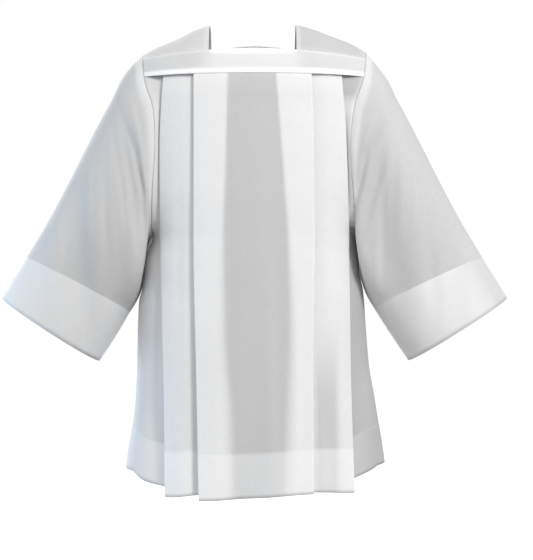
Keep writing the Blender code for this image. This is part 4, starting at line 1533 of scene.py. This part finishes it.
SLEEVE_CREASES = {
    (Side.RIGHT, Face.FRONT): (
        Crease(0.262, -0.205, 0.222, -0.430, 0.030, -0.008),
        Crease(0.300, -0.280, 0.300, -0.560, 0.034, 0.006),
        Crease(0.350, -0.290, 0.345, -0.530, 0.032, -0.006),
        Crease(0.385, -0.360, 0.395, -0.560, 0.034, 0.005),
        Crease(0.256, -0.440, 0.262, -0.580, 0.024, -0.005),
        Crease(0.2500, -0.205, 0.2290, -0.262, 0.010, -0.0040),
        Crease(0.2310, -0.258, 0.2170, -0.330, 0.010, -0.0050),
        Crease(0.2185, -0.322, 0.2115, -0.430, 0.009, -0.0050),
        Crease(0.2360, -0.180, 0.2160, -0.262, 0.008, 0.0030),
        Crease(0.2190, -0.262, 0.2070, -0.350, 0.007, 0.0028),
        Crease(0.278, -0.150, 0.244, -0.330, 0.013, 0.0030),
        Crease(0.246, -0.330, 0.236, -0.440, 0.010, 0.0034),
        Crease(0.326, -0.240, 0.318, -0.460, 0.018, 0.0036),
        Crease(0.290, -0.300, 0.282, -0.520, 0.014, -0.0034),
        Crease(0.300, -0.420, 0.310, -0.560, 0.012, 0.0028),
        Crease(0.366, -0.340, 0.372, -0.540, 0.013, -0.0030),
        Crease(0.410, -0.440, 0.440, -0.560, 0.016, -0.0026),
        Crease(0.306, -0.560, 0.330, -0.630, 0.014, -0.0026),
        Crease(0.262, -0.560, 0.296, -0.662, 0.009, -0.0040),
    ),
    (Side.LEFT, Face.FRONT): (
        Crease(0.245, -0.220, 0.225, -0.420, 0.030, -0.008),
        Crease(0.256, -0.330, 0.262, -0.500, 0.030, -0.005),
        Crease(0.310, -0.270, 0.315, -0.550, 0.038, 0.006),
        Crease(0.380, -0.360, 0.395, -0.580, 0.036, -0.004),
        Crease(0.2450, -0.215, 0.2150, -0.275, 0.010, -0.0045),
        Crease(0.2165, -0.268, 0.1990, -0.350, 0.010, -0.0060),
        Crease(0.2300, -0.200, 0.2050, -0.262, 0.008, 0.0026),
        Crease(0.258, -0.290, 0.220, -0.420, 0.012, 0.0034),
        Crease(0.250, -0.360, 0.250, -0.500, 0.014, -0.0038),
        Crease(0.292, -0.200, 0.282, -0.400, 0.018, 0.0030),
        Crease(0.401, -0.388, 0.492, -0.534, 0.010, 0.0040),
        Crease(0.386, -0.400, 0.470, -0.545, 0.009, -0.0028),
        Crease(0.340, -0.420, 0.352, -0.560, 0.018, -0.0026),
        Crease(0.268, -0.580, 0.300, -0.664, 0.010, -0.0030),
    ),
    (Side.RIGHT, Face.BACK): (
        Crease(0.255, -0.215, 0.226, -0.440, 0.032, -0.007),
        Crease(0.320, -0.290, 0.300, -0.560, 0.040, 0.006),
        Crease(0.380, -0.370, 0.370, -0.580, 0.036, -0.005),
        Crease(0.262, -0.150, 0.232, -0.320, 0.014, 0.0028),
        Crease(0.346, -0.330, 0.350, -0.520, 0.016, -0.0024),
        Crease(0.430, -0.470, 0.440, -0.580, 0.016, 0.0022),
    ),
    (Side.LEFT, Face.BACK): (
        Crease(0.252, -0.200, 0.222, -0.430, 0.032, -0.007),
        Crease(0.335, -0.300, 0.325, -0.570, 0.042, 0.006),
        Crease(0.285, -0.330, 0.280, -0.560, 0.034, -0.005),
        Crease(0.270, -0.140, 0.240, -0.300, 0.014, 0.0026),
        Crease(0.392, -0.400, 0.398, -0.560, 0.018, -0.0024),
        Crease(0.240, -0.440, 0.262, -0.560, 0.012, 0.0022),
    ),
}
SHOULDER_CREASES = {
    Side.RIGHT: (
        Crease(-0.108, -0.020, -0.166, -0.052, 0.012, 0.0014),
        Crease(-0.150, -0.034, -0.196, -0.066, 0.010, -0.0012),
    ),
    Side.LEFT: (
        Crease(0.104, -0.052, 0.130, -0.024, 0.009, -0.0018),
        Crease(0.150, -0.050, 0.186, -0.046, 0.012, 0.0014),
    ),
}


class Cut(NamedTuple):
    """Cloth that a piece shows, laid flat."""

    width: float
    length: float
    area: float


class Lamp(NamedTuple):
    """Soft square lamp: its name, place, size, power and colour."""

    name: str
    place: Point
    size: float
    power: float
    colour: Point


LAMPS = (
    Lamp("key", (2.0, -2.6, 1.5), 1.0, 78.0, (1.0, 0.995, 0.985)),
    Lamp("fill", (-2.6, -3.0, 0.6), 1.4, 6.0, (1.0, 1.0, 1.0)),
    Lamp("cool_side", (-1.35, -0.06, -0.75), 0.8, 6.5, (0.54, 0.75, 1.0)),
    Lamp("back_key", (-2.2, 3.3, 1.2), 1.0, 92.0, (1.0, 0.995, 0.985)),
)


@dataclass
class Studio:
    """Pale floor, soft light from all round and the camera."""

    camera_place: Point = (0.024, -3.0, -0.508)
    focal: float = 96.43
    frame_height: float = 36.0
    floor_z: float = -1.45
    floor_reach: float = 14.0
    light_below: float = 0.31
    light_above: float = 0.84
    aim: Point = (0.0, 0.0, -0.45)
    floor_tone: float = 0.90
    floor_glow: float = 0.42

    def camera(self) -> None:
        """Level camera straight in front of the garment."""
        lens = bpy.data.cameras.new("camera")
        lens.sensor_fit = "VERTICAL"
        lens.sensor_height = self.frame_height
        lens.lens = self.focal
        camera = bpy.data.objects.new("camera", lens)
        camera.location = self.camera_place
        camera.rotation_euler = (math.radians(90.0), 0.0, 0.0)
        bpy.context.scene.collection.objects.link(camera)
        bpy.context.scene.camera = camera

    def floor(self) -> None:
        """Wide pale floor at the wearer's feet."""
        reach = self.floor_reach
        mesh = bpy.data.meshes.new("floor")
        corners = [(-reach, -reach), (reach, -reach), (reach, reach), (-reach, reach)]
        mesh.from_pydata([(x, y, self.floor_z) for x, y in corners], [], [(0, 1, 2, 3)])
        material = bpy.data.materials.new("pale_floor")
        material.use_nodes = True
        shader = material.node_tree.nodes["Principled BSDF"]
        shader.inputs["Base Color"].default_value = (*(self.floor_tone,) * 3, 1.0)
        shader.inputs["Roughness"].default_value = 0.9
        shader.inputs["Emission Color"].default_value = (1.0, 1.0, 1.0, 1.0)
        shader.inputs["Emission Strength"].default_value = self.floor_glow
        mesh.materials.append(material)
        floor = bpy.data.objects.new("floor", mesh)
        bpy.context.scene.collection.objects.link(floor)
        floor.visible_diffuse = False

    def sky(self) -> None:
        """Even white surroundings, a little softer as light than as a backdrop."""
        world = bpy.data.worlds.new("studio")
        bpy.context.scene.world = world
        world.use_nodes = True
        board = Board(world.node_tree)
        sky = world.node_tree.nodes["Background"]
        sky.inputs["Color"].default_value = (1.0, 1.0, 1.0, 1.0)
        split = board.node("ShaderNodeSeparateXYZ")
        board.join(board.node("ShaderNodeTexCoord").outputs["Generated"], split.inputs[0])
        middle = (self.light_above + self.light_below) / 2.0
        spread = (self.light_above - self.light_below) / 2.0
        light = board.maths("MULTIPLY_ADD", split.outputs[2], spread, middle)
        seen = board.node("ShaderNodeLightPath").outputs["Is Camera Ray"]
        board.join(board.maths("MAXIMUM", seen, light), sky.inputs["Strength"])
        bpy.context.scene.view_settings.view_transform = "Standard"

    def lamp(self, plan: Lamp) -> None:
        """Puts up one lamp, turned to the middle of the garment."""
        light = bpy.data.lights.new(plan.name, "AREA")
        light.shape = "SQUARE"
        light.size = plan.size
        light.energy = plan.power
        light.color = plan.colour
        lamp = bpy.data.objects.new(plan.name, light)
        lamp.location = plan.place
        aim = Vector(self.aim) - Vector(plan.place)
        lamp.rotation_euler = aim.to_track_quat("-Z", "Y").to_euler()
        bpy.context.scene.collection.objects.link(lamp)

    def build(self) -> None:
        """Sets up the whole studio."""
        self.camera()
        self.floor()
        self.sky()
        for plan in LAMPS:
            self.lamp(plan)


@dataclass
class Dressing:
    """Puts finished pieces on the frame in place of its plain nodes."""

    finishes: dict[str, bpy.types.Material]
    sewing: Stitching

    def cloth(self, node: str, slot: str, sheet: ClothSheet, held: str,
              rests_on: Sequence[str], rows: dict[str, list[list[Point]]]) -> None:
        """Args:
            node: CAD node that the piece stands for.
            slot: material slot of its cloth.
            sheet: grid of the cloth.
            held: how the cloth is held; not used.
            rests_on: what it hangs from; not used.
            rows: names and lines of its stitch rows.
        """
        piece = sheet.build(self.finishes[slot])
        sewn = [self.sewing.row(name, lines) for name, lines in rows.items()]
        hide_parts(node)
        for item in (piece, *sewn):
            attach(item, BODY)
        faces = piece.data.polygons
        LOG.info("%s: %.3f x %.3f m, %.3f m2, %d faces", piece.name, sheet.width(), sheet.length(),
                 sum(face.area for face in faces), len(faces))


def main() -> None:
    """Builds the surplice piece by piece and sets up the studio."""
    logging.basicConfig(level=logging.INFO, format="%(name)s: %(message)s")
    form = BodyForm()
    weave, rumple = weave_group(), rumple_group()
    finishes = {
        "cloth": ClothFinish("body_cloth", SINGLE_CLOTH, (0.895, 0.896, 0.900, 1.0)),
        "yoke_cloth": ClothFinish("yoke_cloth", DOUBLE_CLOTH, (0.960, 0.961, 0.965, 1.0)),
        "sleeve_cloth": ClothFinish("sleeve_cloth", SINGLE_CLOTH, (0.910, 0.911, 0.915, 1.0)),
    }
    materials = {name: finish.material(weave, rumple) for name, finish in finishes.items()}
    dress = Dressing(materials, Stitching(ThreadFinish().material()))

    panels = {
        "front": PleatedPanel(
            "front_panel_cloth", Face.FRONT, form, FRONT_FOLDS, FRONT_SHEER,
            {Side.RIGHT: 0.056, Side.LEFT: 0.052}, FRONT_HEMS, FRONT_FLARES, FRONT_CREASES,
        ),
        "back": PleatedPanel(
            "back_panel_cloth", Face.BACK, form, BACK_FOLDS, BACK_SHEER,
            {Side.RIGHT: 0.054, Side.LEFT: 0.054}, BACK_HEMS, BACK_FLARES, BACK_CREASES,
        ),
    }
    for name, panel in panels.items():
        sheet = panel.sheet()
        hem = surface_line(sheet, sheet.hem_row, HEM_CLOTH / 2.0 + dress.sewing.lift)
        dress.cloth(
            f"{name}_panel", "cloth", sheet, "gathered",
            (f"{name}_yoke_cloth",), {f"{name}_hem_stitches": [hem]},
        )
        yoke = YokeBand(f"{name}_yoke_cloth", panel.face, form).sheet()
        lines = [surface_line(yoke, row, dress.sewing.lift) for row in (2, len(yoke.rows) - 3)]
        dress.cloth(
            f"{name}_yoke", "yoke_cloth", yoke, "stretched",
            ("shoulder_right_cloth", "shoulder_left_cloth"), {f"{name}_yoke_stitches": lines},
        )
    for side in Side:
        name = side.name.lower()
        shoulder = ShoulderPiece(f"shoulder_{name}_cloth", side, form, SHOULDER_CREASES[side]).sheet()
        dress.cloth(
            f"shoulder_{name}", "cloth", shoulder, "stretched",
            ("front_yoke_cloth", "back_yoke_cloth"), {},
        )
        creases = {face: SLEEVE_CREASES[side, face] for face in Face}
        sleeve = Sleeve(f"sleeve_{name}_cloth", side, form, creases).sheet()
        ring = surface_line(sleeve, sleeve.hem_row + 1, dress.sewing.lift)
        dress.cloth(
            f"sleeve_{name}", "sleeve_cloth", sleeve, "hung",
            (f"shoulder_{name}_cloth",), {f"sleeve_{name}_hem_stitches": [ring + ring[:1]]},
        )
    Studio().build()


if __name__ == "__main__":
    main()
